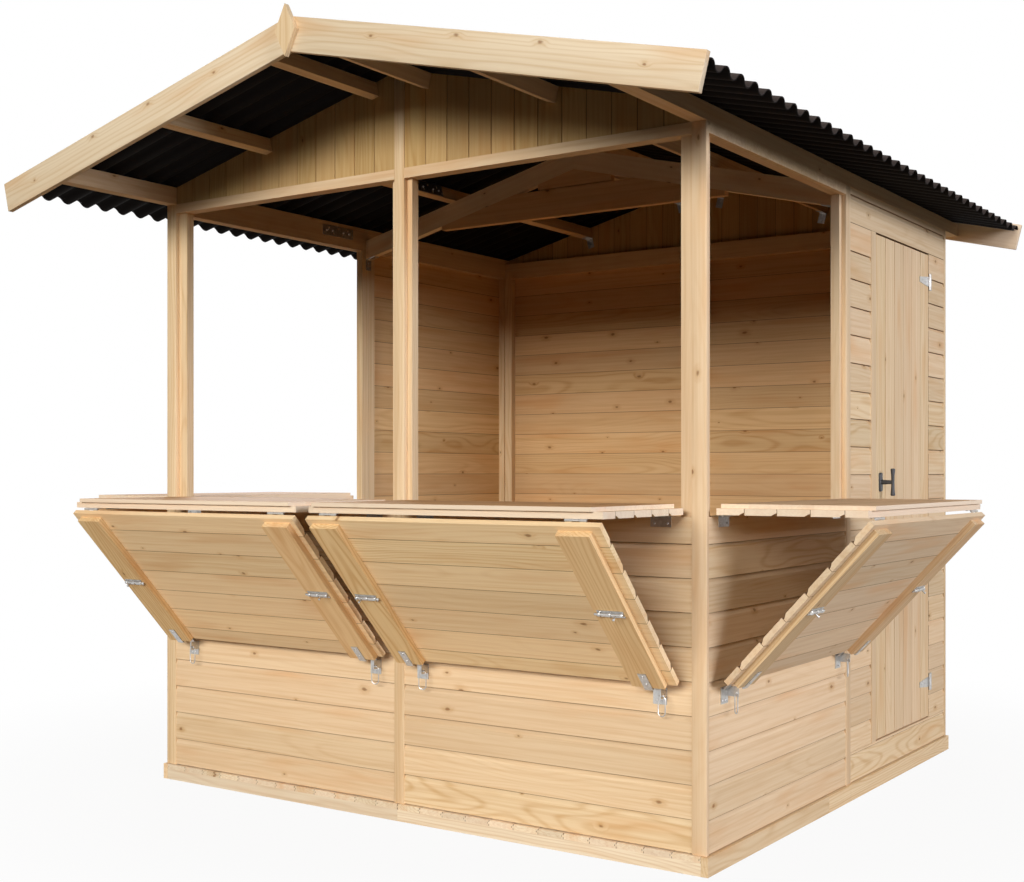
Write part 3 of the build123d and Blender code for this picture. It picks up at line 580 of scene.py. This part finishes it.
def pick(piece, kind, test):
    """Edit mode, with only the vertices, edges or faces that pass the test selected."""
    bpy.ops.object.mode_set(mode="EDIT")
    bpy.ops.mesh.select_mode(type=kind)
    bpy.ops.mesh.select_all(action="DESELECT")
    bpy.ops.object.mode_set(mode="OBJECT")
    mesh = piece.data
    for element in {"VERT": mesh.vertices, "EDGE": mesh.edges, "FACE": mesh.polygons}[kind]:
        element.select = test(element)
    bpy.ops.object.mode_set(mode="EDIT")


def close():
    """Back to object mode, which writes the edit into the mesh."""
    bpy.ops.object.mode_set(mode="OBJECT")


def bevel(piece, kind, test, offset, segments):
    pick(piece, kind, test)
    bpy.ops.mesh.bevel(offset=offset, segments=segments)
    close()


def add_head(piece, top, neck, spread, height, easing):
    """The end face of a rod is drawn out, widened, drawn out again, and eased."""
    pick(piece, "FACE", lambda face: face.center.z > top - 0.1 * MM)
    bpy.ops.mesh.extrude_region_move(TRANSFORM_OT_translate={"value": (0, 0, neck)})
    bpy.ops.transform.resize(value=(spread, spread, 1))
    bpy.ops.mesh.extrude_region_move(TRANSFORM_OT_translate={"value": (0, 0, height)})
    bpy.ops.mesh.bevel(offset=easing, segments=2)
    close()


def edge_span(piece, edge, axis):
    """How far an edge runs along x, y or z, given as 0, 1 or 2."""
    first, second = (piece.data.vertices[index].co[axis] for index in edge.vertices)
    return abs(first - second)


def apply_modifier(piece, kind, **settings):
    bpy.context.view_layer.objects.active = piece
    modifier = piece.modifiers.new(kind.title(), kind)
    for key, value in settings.items():
        setattr(modifier, key, value)
    bpy.ops.object.modifier_apply(modifier=modifier.name)


def seat(point, facing, along):
    """A place on a surface: the model's z looks along facing, and its x runs along."""
    z = Vector(facing).normalized()
    x = Vector(along).normalized()
    matrix = Matrix((x, z.cross(x), z)).transposed().to_4x4()
    matrix.translation = Vector(point)
    return matrix


def join_all(parts, name):
    bpy.ops.object.select_all(action="DESELECT")
    for part in parts:
        part.select_set(True)
    bpy.context.view_layer.objects.active = parts[0]
    if len(parts) > 1:
        bpy.ops.object.join()
    parts[0].name = parts[0].data.name = name
    return parts[0]


def hand_over(piece, material, body, finish_slot, *stands_for):
    piece.data.materials.clear()
    piece.data.materials.append(material)
    for face in piece.data.polygons:
        face.material_index = 0
    select_only(piece)
    bpy.ops.object.shade_smooth_by_angle(angle=radians(35))
    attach(piece, body)
    if stands_for:
        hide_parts(*stands_for)
    print(piece.name, "on", body, "with", len(piece.data.polygons), "faces")
    return piece


def set_out(model, name, seats, material, body, finish_slot, *stands_for):
    copies = []
    for place in seats:
        mesh = model.data.copy()
        mesh.transform(place)
        if place.determinant() < 0:
            mesh.flip_normals()
        copy = bpy.data.objects.new(name, mesh)
        scene.collection.objects.link(copy)
        copies.append(copy)
    return hand_over(join_all(copies, name), material, body, finish_slot, *stands_for)


def put_away(*models):
    for model in models:
        bpy.data.objects.remove(model)


def copy_of(node, name):
    """A new object with a copy of a node's mesh. The node itself stays as it is."""
    copy = bpy.data.objects.new(name, frame["nodes"][node].data.copy())
    scene.collection.objects.link(copy)
    return copy


# %% [markdown]
# Each iron in a node is a solid of its own. Where they sit is measured on a scratch copy of
# the node: merged, taken apart into its loose solids, measured, and thrown away.
# %% Measuring the irons
MERGE = 0.001 * MM


def solids_of(node):
    """The corner points of each solid of a node."""
    open_all(copy_of(node, "scratch"))
    bpy.ops.mesh.remove_doubles(threshold=MERGE)
    bpy.ops.mesh.separate(type="LOOSE")
    close()
    solids = []
    for part in list(bpy.context.selected_objects):
        solids.append([vertex.co.copy() for vertex in part.data.vertices])
        bpy.data.objects.remove(part)
    return sorted(solids, key=lambda corners: tuple(round(v, 4) for v in sum(corners, Vector())))


lugs = solids_of("brace_lugs")
print("lugs:", len(lugs), "top", round(reach(lugs[0], Z)[1], 3))

# %% [markdown]
# Corrugated roof sheet. The real wave is pressed from arcs that flow into each other, one up
# and one down. A cosine drawn with points would need many of them, so here one edge is spun
# through two arcs, arrayed across the slope and thickened. The arc's radius follows from the
# wave's pitch and height. The solid in the model ends at its outer crests. Here the wave runs
# on for a quarter more at both ends, so that no slit is left beside the barge boards. The left
# slope is a mirrored copy.
# %% Corrugated sheets
WAVE_PITCH, WAVE_HEIGHT, SHEET_THICKNESS = 76 * MM, 24 * MM, 3 * MM
ARC_STEPS = 8
SHEET_MERGE = 0.01 * MM
rise = (WAVE_HEIGHT - SHEET_THICKNESS) / 2
bend_radius = ((WAVE_PITCH / 4) ** 2 + rise**2) / (2 * rise)
half_arc = asin(WAVE_PITCH / 4 / bend_radius)
sheet_run = (sheet_high.x - WAVE_HEIGHT * square_right.x) / down_right.x
waves = round((sheet_high.y - sheet_low.y) / WAVE_PITCH)
ridge_point = Vector((0, sheet_low.y, sheet_high.z - WAVE_HEIGHT * square_right.z))

right_sheet = start(bpy.ops.mesh.primitive_plane_add, "corrugated_sheet_right", size=sheet_run)
pick(right_sheet, "VERT", lambda vertex: vertex.co.y > 0)
bpy.ops.mesh.delete(type="VERT")
bpy.ops.mesh.select_all(action="SELECT")
to_start = (sheet_run / 2, sheet_run / 2 - WAVE_PITCH / 4, 0)
bpy.ops.transform.translate(value=to_start)
for arc_y, depth, turn in ((0, rise - bend_radius, 1), (WAVE_PITCH / 2, bend_radius - rise, -1)):
    bpy.ops.mesh.spin(
        steps=ARC_STEPS, angle=turn * 2 * half_arc, center=(0, arc_y, depth), axis=(1, 0, 0),
    )
bpy.ops.mesh.select_all(action="SELECT")
bpy.ops.mesh.remove_doubles(threshold=SHEET_MERGE)
bpy.ops.mesh.normals_make_consistent(inside=False)
close()
apply_modifier(
    right_sheet, "ARRAY", count=waves + 1, use_relative_offset=False, use_constant_offset=True,
    constant_offset_displace=(0, WAVE_PITCH, 0), use_merge_vertices=True,
    merge_threshold=SHEET_MERGE,
)
pick(right_sheet, "FACE", lambda face: face.center.y > (waves + 0.25) * WAVE_PITCH)
bpy.ops.mesh.delete(type="FACE")
close()
apply_modifier(right_sheet, "SOLIDIFY", thickness=SHEET_THICKNESS, offset=0)
pick(right_sheet, "FACE", lambda face: True)
bpy.ops.mesh.normals_make_consistent(inside=False)
close()
right_seat = seat(ridge_point + square_right * WAVE_HEIGHT / 2, square_right, down_right)
left_seat = Matrix.Scale(-1, 4, X) @ right_seat
for side, sheet_seat in (("right", right_seat), ("left", left_seat)):
    set_out(
        right_sheet, "roof_sheet_" + side + "_waves", [sheet_seat], bitumen_sheet, "root",
        "bitumen_sheet", "roof_sheet_" + side,
    )
shell = [vertex.co.z for vertex in right_sheet.data.vertices]
print("wave from", round(min(shell) * 1000, 1), "to", round(max(shell) * 1000, 1), "mm")
print("waves:", waves, "run", round(sheet_run, 3), "radius", round(bend_radius, 4))
put_away(right_sheet)

# %% [markdown]
# The sheets are nailed through their crests, in two rows on each slope. Each nail has a domed
# plastic cap in the colour of the sheet. A short cylinder is drawn in at its top to make the
# dome.
# %% Roof nails with domed caps
NAIL_ROWS = (545 * MM, 975 * MM)        # how far out from the ridge, measured level
NAIL_EVERY = 3                          # a nail in every third crest


def domed(name, radius, height, sides, draws):
    """A disc whose top face is drawn in and raised, a few times, into a dome."""
    made = start(
        bpy.ops.mesh.primitive_cylinder_add, name, vertices=sides, radius=radius,
        depth=height / 2, location=(0, 0, height / 4),
    )
    for share, lift in draws:
        top = max(vertex.co.z for vertex in made.data.vertices)
        pick(made, "FACE", lambda face: face.center.z > top - 0.01 * MM)
        bpy.ops.mesh.inset(thickness=radius * share)
        bpy.ops.transform.translate(value=(0, 0, height * lift))
        close()
    return made


cap = domed("nail_cap", 10 * MM, 6 * MM, 12, ((0.28, 0.27), (0.30, 0.17)))
cap_seats = []
for side in (-1, 1):
    square = (side * square_right.x, 0, square_right.z)
    for out in NAIL_ROWS:
        for wave in range(1, waves, NAIL_EVERY):
            crest = ridge_point + Y * wave * WAVE_PITCH + square_right * (WAVE_HEIGHT - 0.2 * MM)
            point = crest + down_right * (out / down_right.x)
            cap_seats.append(seat((side * point.x, point.y, point.z), square, Y))
set_out(cap, "roof_nail_caps", cap_seats, bitumen_sheet, "root", "bitumen_sheet")
put_away(cap)

# %% [markdown]
# Screws hold every iron. Their seats are worked out flap by flap: an iron 24 mm wide is a
# tongue on a batten's foot, one 75 mm wide is a bolt, and the others are hinge straps. The
# bolts' seats, and those of the pins and rings on the lugs, are found on the way.
# %% Seats of the flaps' screws, bolts and pins
HINGE_SHIFTS = (-19 * MM, 19 * MM)          # a hinge's two screws, to each side of its middle
HINGE_EDGE = 8 * MM                         # from a strap's free edge to its screws
HINGE_PLATE, IRON_PLATE = 1.2 * MM, 2.5 * MM
STRAP_SCREW = (15 * MM, 2.3 * MM)           # on the brace: down from the hinge, off its axis
TONGUE_SCREWS = (11 * MM, 40 * MM)
LUG_SHIFTS = (-11 * MM, 5 * MM)             # a lug's two screws, from its middle
LUG_HOLE = (7 * MM, 26 * MM)                # back from the fin's tip, and up from the foot
RING_LEAN = 14                              # degrees, at the most
screws = {"root": [], "door": []}
bolt_seats, pin_seats, ring_seats = {}, [], []
wall_plates = solids_of("wall_irons")
for flap in flaps:
    brace_screws = screws[flap.name + "_brace"] = []
    bolts = bolt_seats[flap.name + "_brace"] = []
    for iron in solids_of(flap.name + "_brace_irons"):
        first, last = reach(iron, flap.along)
        width, side = last - first, (first + last) / 2
        near, far = flap.from_hinge(iron, flap.run)
        under, over = flap.from_hinge(iron, flap.facing)
        if width < 30 * MM:
            for step in TONGUE_SCREWS:
                point = flap.on_brace(near + step, side, over)
                brace_screws.append(seat(point, flap.facing, flap.along))
        elif width > 70 * MM:
            inward = 1 if side < sum(flap.ends) / 2 else -1
            point = flap.on_brace((near + far) / 2, side, under)
            bolts.append(seat(point, flap.facing, flap.along * inward))
        else:
            for shift in HINGE_SHIFTS:
                point = flap.on_brace(STRAP_SCREW[0], side + shift, STRAP_SCREW[1])
                brace_screws.append(seat(point, -flap.facing, flap.along))
    counter_screws = screws[flap.name + "_counter"] = []
    for iron in solids_of(flap.name + "_counter_irons"):
        near, far = reach(iron, flap.out)
        at_wall = (near + far) / 2 < flap.inner + 100 * MM
        row = far - HINGE_EDGE if at_wall else near + HINGE_EDGE
        under = reach(iron, Z)[1] - HINGE_PLATE
        for shift in HINGE_SHIFTS:
            point = flap.at(row, middle(iron, flap.along) + shift, under)
            counter_screws.append(seat(point, -Z, flap.along))
    for iron in filter(flap.holds, wall_plates):
        face = reach(iron, flap.out)[0] + HINGE_PLATE
        for shift in HINGE_SHIFTS:
            point = flap.at(face, middle(iron, flap.along) + shift, reach(iron, Z)[0] + 9 * MM)
            screws["root"].append(seat(point, flap.out, flap.along))
    for lug in filter(flap.holds, lugs):
        back, tip = reach(lug, flap.out)
        foot = reach(lug, Z)[0]
        for shift in LUG_SHIFTS:
            across = middle(lug, flap.along) + shift
            point = flap.at(back + IRON_PLATE, across, foot + 8 * MM)
            screws["root"].append(seat(point, flap.out, flap.along))
        fin_corners = [corner for corner in lug if corner.dot(flap.out) > tip - 1 * MM]
        fin = middle(fin_corners, flap.along)
        hole = flap.at(tip - LUG_HOLE[0], fin, foot + LUG_HOLE[1])
        pin_seats.append(seat(hole, flap.along, flap.out))
        lean = Matrix.Rotation(radians(RING_LEAN * sin(70 * fin)), 4, "Z")
        upright = seat((0, 0, 0), flap.out, flap.along)
        ring_seats.append(Matrix.Translation(hole) @ lean @ upright)
print("screws on the flaps:", {body: len(seats) for body, seats in screws.items()})

# %% [markdown]
# The door's T-hinges have screws along the tapered strap and down the plate. The brackets
# under the purlins are small angles, with two screws in each flange. Their middle gives the
# place of the flanges, because an angle fills a square.
# %% Seats of the screws on the door and in the roof
STRAP_PATTERN = ((22 * MM, 10 * MM), (22 * MM, -10 * MM), (52 * MM, 0), (88 * MM, 0))
DOOR_PLATE_LIFTS = (-20 * MM, 0, 20 * MM)
RAFTER_LIFTS = (2 * MM, -16 * MM)
FLANGE_STEPS = (15 * MM, 33 * MM)
BRACKET_HALF = 21 * MM
for strap in solids_of("door_hinges"):
    face, root = reach(strap, X)[0] + IRON_PLATE, reach(strap, Y)[1]
    for back, lift in STRAP_PATTERN:
        screws["door"].append(seat((face, root - back, middle(strap, Z) + lift), X, Y))
for plate in solids_of("door_hinge_plates"):
    face, edge = reach(plate, X)[0] + IRON_PLATE, reach(plate, Y)[1] - 9 * MM
    for lift in DOOR_PLATE_LIFTS:
        screws["root"].append(seat((face, edge, middle(plate, Z) + lift), X, Y))
for angle in solids_of("roof_brackets"):
    centre = centre_of(angle)
    side = 1 if centre.x > 0 else -1
    if abs(centre.y) < 100 * MM:                                # under a rafter's foot
        face = side * (reach(angle, X * side)[1] - IRON_PLATE)
        for lift in RAFTER_LIFTS:
            screws["root"].append(seat((face, 0, centre.z + lift), -X * side, Y))
        continue
    end = 1 if centre.y > 0 else -1
    gable = reach(angle, Y * end)[1]
    square = Vector((side * square_right.x, 0, square_right.z))
    top = centre + square * BRACKET_HALF
    for step in FLANGE_STEPS:
        on_gable = top - square * step
        on_gable.y = end * (gable - IRON_PLATE)
        screws["root"].append(seat(on_gable, -Y * end, X))
        on_purlin = top - square * IRON_PLATE
        on_purlin.y = end * (gable - step)
        screws["root"].append(seat(on_purlin, -square, Y))
print("screws in all:", sum(len(seats) for seats in screws.values()))

# %% [markdown]
# The screw itself: a head 7 mm across, a flat dome with a recess for the driver. The top is
# drawn in twice, and the small face in the middle is pressed down. All the screws of a body
# are joined into one piece that rides on that body.
# %% Screws
RECESSED = ((0.25, 0.4), (0.40, 0.0), (0.04, -0.45))
screw = domed("screw_head", 3.5 * MM, 1.8 * MM, 10, RECESSED)
for body, seats in screws.items():
    set_out(screw, body + "_screws", seats, zinc, body, "zinc_iron")
put_away(screw)

# %% [markdown]
# Barrel bolts. A real one is a rod in a pressed housing, with hoops over it and a knob to
# slide it by. The rod's barrel and plate are in the model already, so this piece adds the
# three hoops, the rod's rounded end past the plate, and the knob.
# %% Barrel bolts on the battens
ROD_LEVEL = 4 * MM
ROD_LENGTH, ROD_END = 24 * MM, 46.5 * MM
HOOP_PLACES = (-32 * MM, 2 * MM, 32 * MM)
KNOB_PLACE, KNOB_LENGTH, KNOB_TOP = -15 * MM, 15 * MM, ROD_LEVEL + 14 * MM
hoops = []
for place in HOOP_PLACES:
    hoop = start(
        bpy.ops.mesh.primitive_cylinder_add, "hoop", vertices=16, radius=6 * MM, depth=9 * MM,
        location=(place, 0, ROD_LEVEL), rotation=(0, pi / 2, 0),
    )
    bevel(hoop, "EDGE", lambda edge: edge_span(hoop, edge, 0) < 0.01 * MM, 1.2 * MM, 2)
    hoops.append(hoop)
rod = start(
    bpy.ops.mesh.primitive_cylinder_add, "rod", vertices=12, radius=3.6 * MM, depth=ROD_LENGTH,
    location=(ROD_END - ROD_LENGTH / 2, 0, ROD_LEVEL), rotation=(0, pi / 2, 0),
)
bevel(rod, "FACE", lambda face: face.center.x > ROD_END - 0.5 * MM, 1.9 * MM, 3)
knob = start(
    bpy.ops.mesh.primitive_cylinder_add, "knob", vertices=12, radius=2.4 * MM,
    depth=KNOB_LENGTH, location=(KNOB_PLACE, 0, KNOB_TOP - KNOB_LENGTH / 2),
)
add_head(knob, KNOB_TOP, neck=1 * MM, spread=1.5, height=2.5 * MM, easing=1 * MM)
bolt = join_all([rod, knob, *hoops], "barrel_bolt")
for body, seats in bolt_seats.items():
    set_out(bolt, body + "_bolts", seats, zinc, body, "zinc_iron")
put_away(bolt)

# %% [markdown]
# A pin through each lug keeps the brace's tongue in, and a loose ring of 3 mm wire hangs on
# it to pull it by. The ring starts as a torus, and its lower half is moved down in edit mode,
# which draws the round ring out into a long link. The seats turn each ring a little, as
# hanging rings are.
# %% Pins and wire rings
PIN_LENGTH, PIN_TOP = 16 * MM, 7 * MM
pin = start(
    bpy.ops.mesh.primitive_cylinder_add, "pin", vertices=12, radius=2.2 * MM, depth=PIN_LENGTH,
    location=(0, 0, PIN_TOP - PIN_LENGTH / 2),
)
add_head(pin, PIN_TOP, neck=0.4 * MM, spread=2.0, height=2.2 * MM, easing=0.9 * MM)
set_out(pin, "lug_pins", pin_seats, zinc, "root", "zinc_iron")

RING_RADIUS, WIRE, RING_DRAW = 11.5 * MM, 1.5 * MM, 31 * MM
ring = start(
    bpy.ops.mesh.primitive_torus_add, "wire_ring", major_radius=RING_RADIUS, minor_radius=WIRE,
    major_segments=24, minor_segments=8, location=(0, WIRE - RING_RADIUS, 0),
)
pick(ring, "VERT", lambda vertex: vertex.co.y < WIRE - RING_RADIUS - 0.1 * MM)
bpy.ops.transform.translate(value=(0, -RING_DRAW, 0))
close()
set_out(ring, "wire_rings", ring_seats, zinc, "root", "zinc_iron")
put_away(pin, ring)

# %% [markdown]
# Perforated plates join the two lengths of each purlin. They are punched from flat zinc-plated
# strip, so the holes are cut with a boolean: pegs are set out over the plate and subtracted.
# The holes are in two rows, staggered, and four screws stand between them.
# %% Perforated splice plates
PLATE = Vector((170, 40, 2.5)) * MM
HOLE_STEP, HOLE_ROW = 26 * MM, 10 * MM
PLATE_SCREWS = (-62 * MM, -30 * MM, 30 * MM, 62 * MM)
plate = start(bpy.ops.mesh.primitive_cube_add, "splice_plate", size=1, scale=PLATE)
bevel(plate, "EDGE", lambda edge: edge_span(plate, edge, 2) > 1 * MM, 3 * MM, 3)
pegs = []
for column in range(-3, 4):
    for row, first in ((-1, 0), (1, 1)):
        if (column + first) % 2:
            pegs.append(start(
                bpy.ops.mesh.primitive_cylinder_add, "peg", vertices=12, radius=3.6 * MM,
                depth=10 * MM, location=(column * HOLE_STEP, row * HOLE_ROW, 0),
            ))
peg = join_all(pegs, "pegs")
apply_modifier(plate, "BOOLEAN", object=peg, operation="DIFFERENCE", solver="EXACT")
put_away(peg)
plate_seats, filled = [], []
for solid in solids_of("splice_plates"):
    centre = centre_of(solid)
    side = 1 if centre.x > 0 else -1
    across, far = reach(solid, X)
    sloped = far - across > 5 * MM
    facing = Vector((-side * down_right.x, 0, -down_right.z)) if sloped else -X * side
    plate_seats.append(seat(centre, facing, Y))
    for along in PLATE_SCREWS:
        filled.append(plate_seats[-1] @ Matrix.Translation((along, 0, PLATE.z / 2)))
set_out(plate, "splice_plates_perforated", plate_seats, zinc, "root", "zinc_iron", "splice_plates")
plate_screw = domed("plate_screw", 4.5 * MM, 2.4 * MM, 12, RECESSED)
set_out(plate_screw, "splice_plate_screws", filled, zinc, "root", "zinc_iron")
put_away(plate, plate_screw)

# %% [markdown]
# The door handle is a cast T-handle: a rounded backplate, a stem that widens at its root, and
# a grip that is thickest at its ends. They start as a cube, a cone and a cylinder, are shaped
# with bisect, resize and bevel, and are joined.
# %% Door handle
handle_low, handle_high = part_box("door_handle")
GRIP_LENGTH = handle_high.z - handle_low.z
GRIP_RADIUS = 8 * MM
GRIP_WAIST = ((0, 0.66), (20 * MM, 0.86), (-20 * MM, 0.86))     # a place, and its share
ROSE = Vector((22, 62, 7)) * MM
grip_level = handle_high.x - handle_low.x - GRIP_RADIUS
rose = start(
    bpy.ops.mesh.primitive_cube_add, "rose", size=1, scale=ROSE, location=(0, 0, ROSE.z / 2),
)
bevel(rose, "EDGE", lambda edge: edge_span(rose, edge, 2) > 1 * MM, 8 * MM, 5)
bevel(rose, "FACE", lambda face: face.center.z > ROSE.z - 0.1 * MM, 2.6 * MM, 3)
stem = start(
    bpy.ops.mesh.primitive_cone_add, "stem", vertices=20, radius1=8.5 * MM, radius2=6 * MM,
    depth=grip_level, location=(0, 0, grip_level / 2),
)
grip = start(
    bpy.ops.mesh.primitive_cylinder_add, "grip", vertices=20, radius=GRIP_RADIUS,
    depth=GRIP_LENGTH, location=(0, 0, grip_level), rotation=(pi / 2, 0, 0),
)
for place, share in GRIP_WAIST:
    pick(grip, "FACE", lambda face: True)
    bpy.ops.mesh.bisect(plane_co=(0, place, 0), plane_no=(0, 1, 0))
    close()
    pick(grip, "VERT", lambda vertex: abs(vertex.co.y - place) < 0.1 * MM)
    bpy.ops.transform.resize(value=(share, 1, share), center_override=(0, place, grip_level))
    close()
ends = GRIP_LENGTH / 2 - 0.1 * MM
bevel(grip, "FACE", lambda face: abs(face.center.y) > ends, 4.5 * MM, 4)
t_handle = join_all([rose, stem, grip], "t_handle")
on_door = (handle_low + handle_high) / 2
on_door.x = handle_low.x
handle_seat = seat(on_door, X, Y)
set_out(t_handle, "door_t_handle", [handle_seat], black, "door", "black_handle", "door_handle")
put_away(t_handle)

# %% [markdown]
# Sawn boards have sharp arrises, but the boards that are handled or seen first are planed and
# eased. For these, a merged copy of the node's mesh gets a small bevel on its sharp edges and
# stands for the node. Flat faces are dissolved first, so that the bevel meets clean edges.
# %% Eased boards
EASE = 1.5 * MM


def eased(node, body, finish_slot):
    piece = copy_of(node, node + "_eased")
    open_all(piece)
    bpy.ops.mesh.remove_doubles(threshold=MERGE)
    bpy.ops.mesh.dissolve_limited(angle_limit=radians(0.5))
    close()
    sharp = {"limit_method": "ANGLE", "angle_limit": radians(40)}
    apply_modifier(piece, "BEVEL", width=EASE, segments=2, **sharp)
    return hand_over(piece, frame["nodes"][node].data.materials[0], body, finish_slot, node)


for node in ("barge_boards", "cover_strips"):
    made = eased(node, "root", "pine_boards")
    grown = max(vertex.co.z for vertex in made.data.vertices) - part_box(node)[1].z
    print("higher than its node by", round(grown * 1000, 2), "mm")

# %% [markdown]
# The studio: a floor and three large soft lamps, in front, behind to the left, and at the
# right side. They stand far away, as in a deep studio, so the light reaches under the roof and
# falls off little from one end of the stall to the other. What the camera and the metal see
# of the floor fades to white away from the stall. For the light, the floor turns nearly black
# there, so that it throws none up under the roof. The surround is white in the same way for
# what the camera and the metal see, and gives hardly any light.
# %% Studio
GLOW_SHARES = (0.94, 1.0)       # how far the floor glows for the camera: near, and far away
GLOW_FROM, GLOW_FULL = 1.2, 3.0
DARK_FROM, DARK_FULL = 2.6, 4.5
SKY_LIGHT = 0.008
LAMP_TARGET = Vector((0, 0, 1))
WHITE = (1, 1, 1, 1)


def seen_rays(tree):
    """1 for what the camera sees, straight or in the metal, and 0 for what gives light."""
    path = add(tree, "ShaderNodeLightPath").outputs
    return maths(tree, "MAXIMUM", path["Is Camera Ray"], path["Is Glossy Ray"])


scene.view_settings.view_transform = "Standard"
bpy.ops.object.select_all(action="DESELECT")
bpy.ops.mesh.primitive_plane_add(size=60, location=(0, 0, 0))
floor = bpy.context.active_object
floor.name = "studio_floor"
floor_paint = new_material("studio floor, matt white")
tree = floor_paint.node_tree
far = vector_maths(tree, "LENGTH", coordinate(tree))
near_glow, far_glow = GLOW_SHARES
glowing = ramp(tree, far, GLOW_FROM, GLOW_FULL)
glowing = maths(tree, "MULTIPLY_ADD", glowing, far_glow - near_glow, near_glow)
fade = maths(tree, "MULTIPLY", seen_rays(tree), glowing)
paint = mix(tree, ramp(tree, far, DARK_FROM, DARK_FULL), colour("#A09280"), colour("#15130F"))
matt = add(tree, "ShaderNodeBsdfDiffuse", {"Color": paint})
glow = add(tree, "ShaderNodeEmission", {"Color": WHITE, "Strength": 1.0})
blend = add(tree, "ShaderNodeMixShader", {0: fade, 1: matt.outputs[0], 2: glow.outputs[0]})
add(tree, "ShaderNodeOutputMaterial", {"Surface": blend.outputs[0]})
floor.data.materials.append(floor_paint)

world = bpy.data.worlds.new("studio")
scene.world = world
world.use_nodes = True
tree = world.node_tree
tree.nodes.clear()
strength = maths(tree, "MULTIPLY_ADD", seen_rays(tree), 1 - SKY_LIGHT, SKY_LIGHT)
sky = add(tree, "ShaderNodeBackground", {"Color": WHITE, "Strength": strength})
add(tree, "ShaderNodeOutputWorld", {"Surface": sky.outputs[0]})


def lamp(name, position, size, power, tint=(1, 1, 1)):
    data = bpy.data.lights.new(name, "AREA")
    data.shape = "RECTANGLE"
    data.size, data.size_y = size
    data.energy = power
    data.color = tint
    made = bpy.data.objects.new(name, data)
    scene.collection.objects.link(made)
    made.location = position
    made.rotation_euler = (Vector(position) - LAMP_TARGET).to_track_quat("Z", "Y").to_euler()
    print(name, round((Vector(position) - LAMP_TARGET).length, 1), "m away")


lamp("front lamp", (1.6, -15.0, 5.15), (11.0, 3.6), 2060)
lamp("rear lamp", (-9.0, 12.0, 4.9), (9.0, 3.6), 1750)
lamp("side lamp", (12.0, -2.2, 3.8), (6.0, 3.0), 1080, (0.93, 0.98, 1.14))

# %% [markdown]
# The camera stands a metre up, off the front right corner, and looks level, so posts stay
# upright. A small shift frames the stall without tilting.
# %% Camera
camera_data = bpy.data.cameras.new("camera")
camera = bpy.data.objects.new("camera", camera_data)
scene.collection.objects.link(camera)
camera.location = (2.583, -4.142, 1.027)
camera.rotation_euler = (pi / 2, 0, 0.6021)
camera_data.lens = 48.55
camera_data.sensor_width = 36
camera_data.shift_x = -0.0022
camera_data.shift_y = 0.0301
scene.camera = camera
print("camera", round((camera.location - LAMP_TARGET).length, 2), "m from the stall's middle")
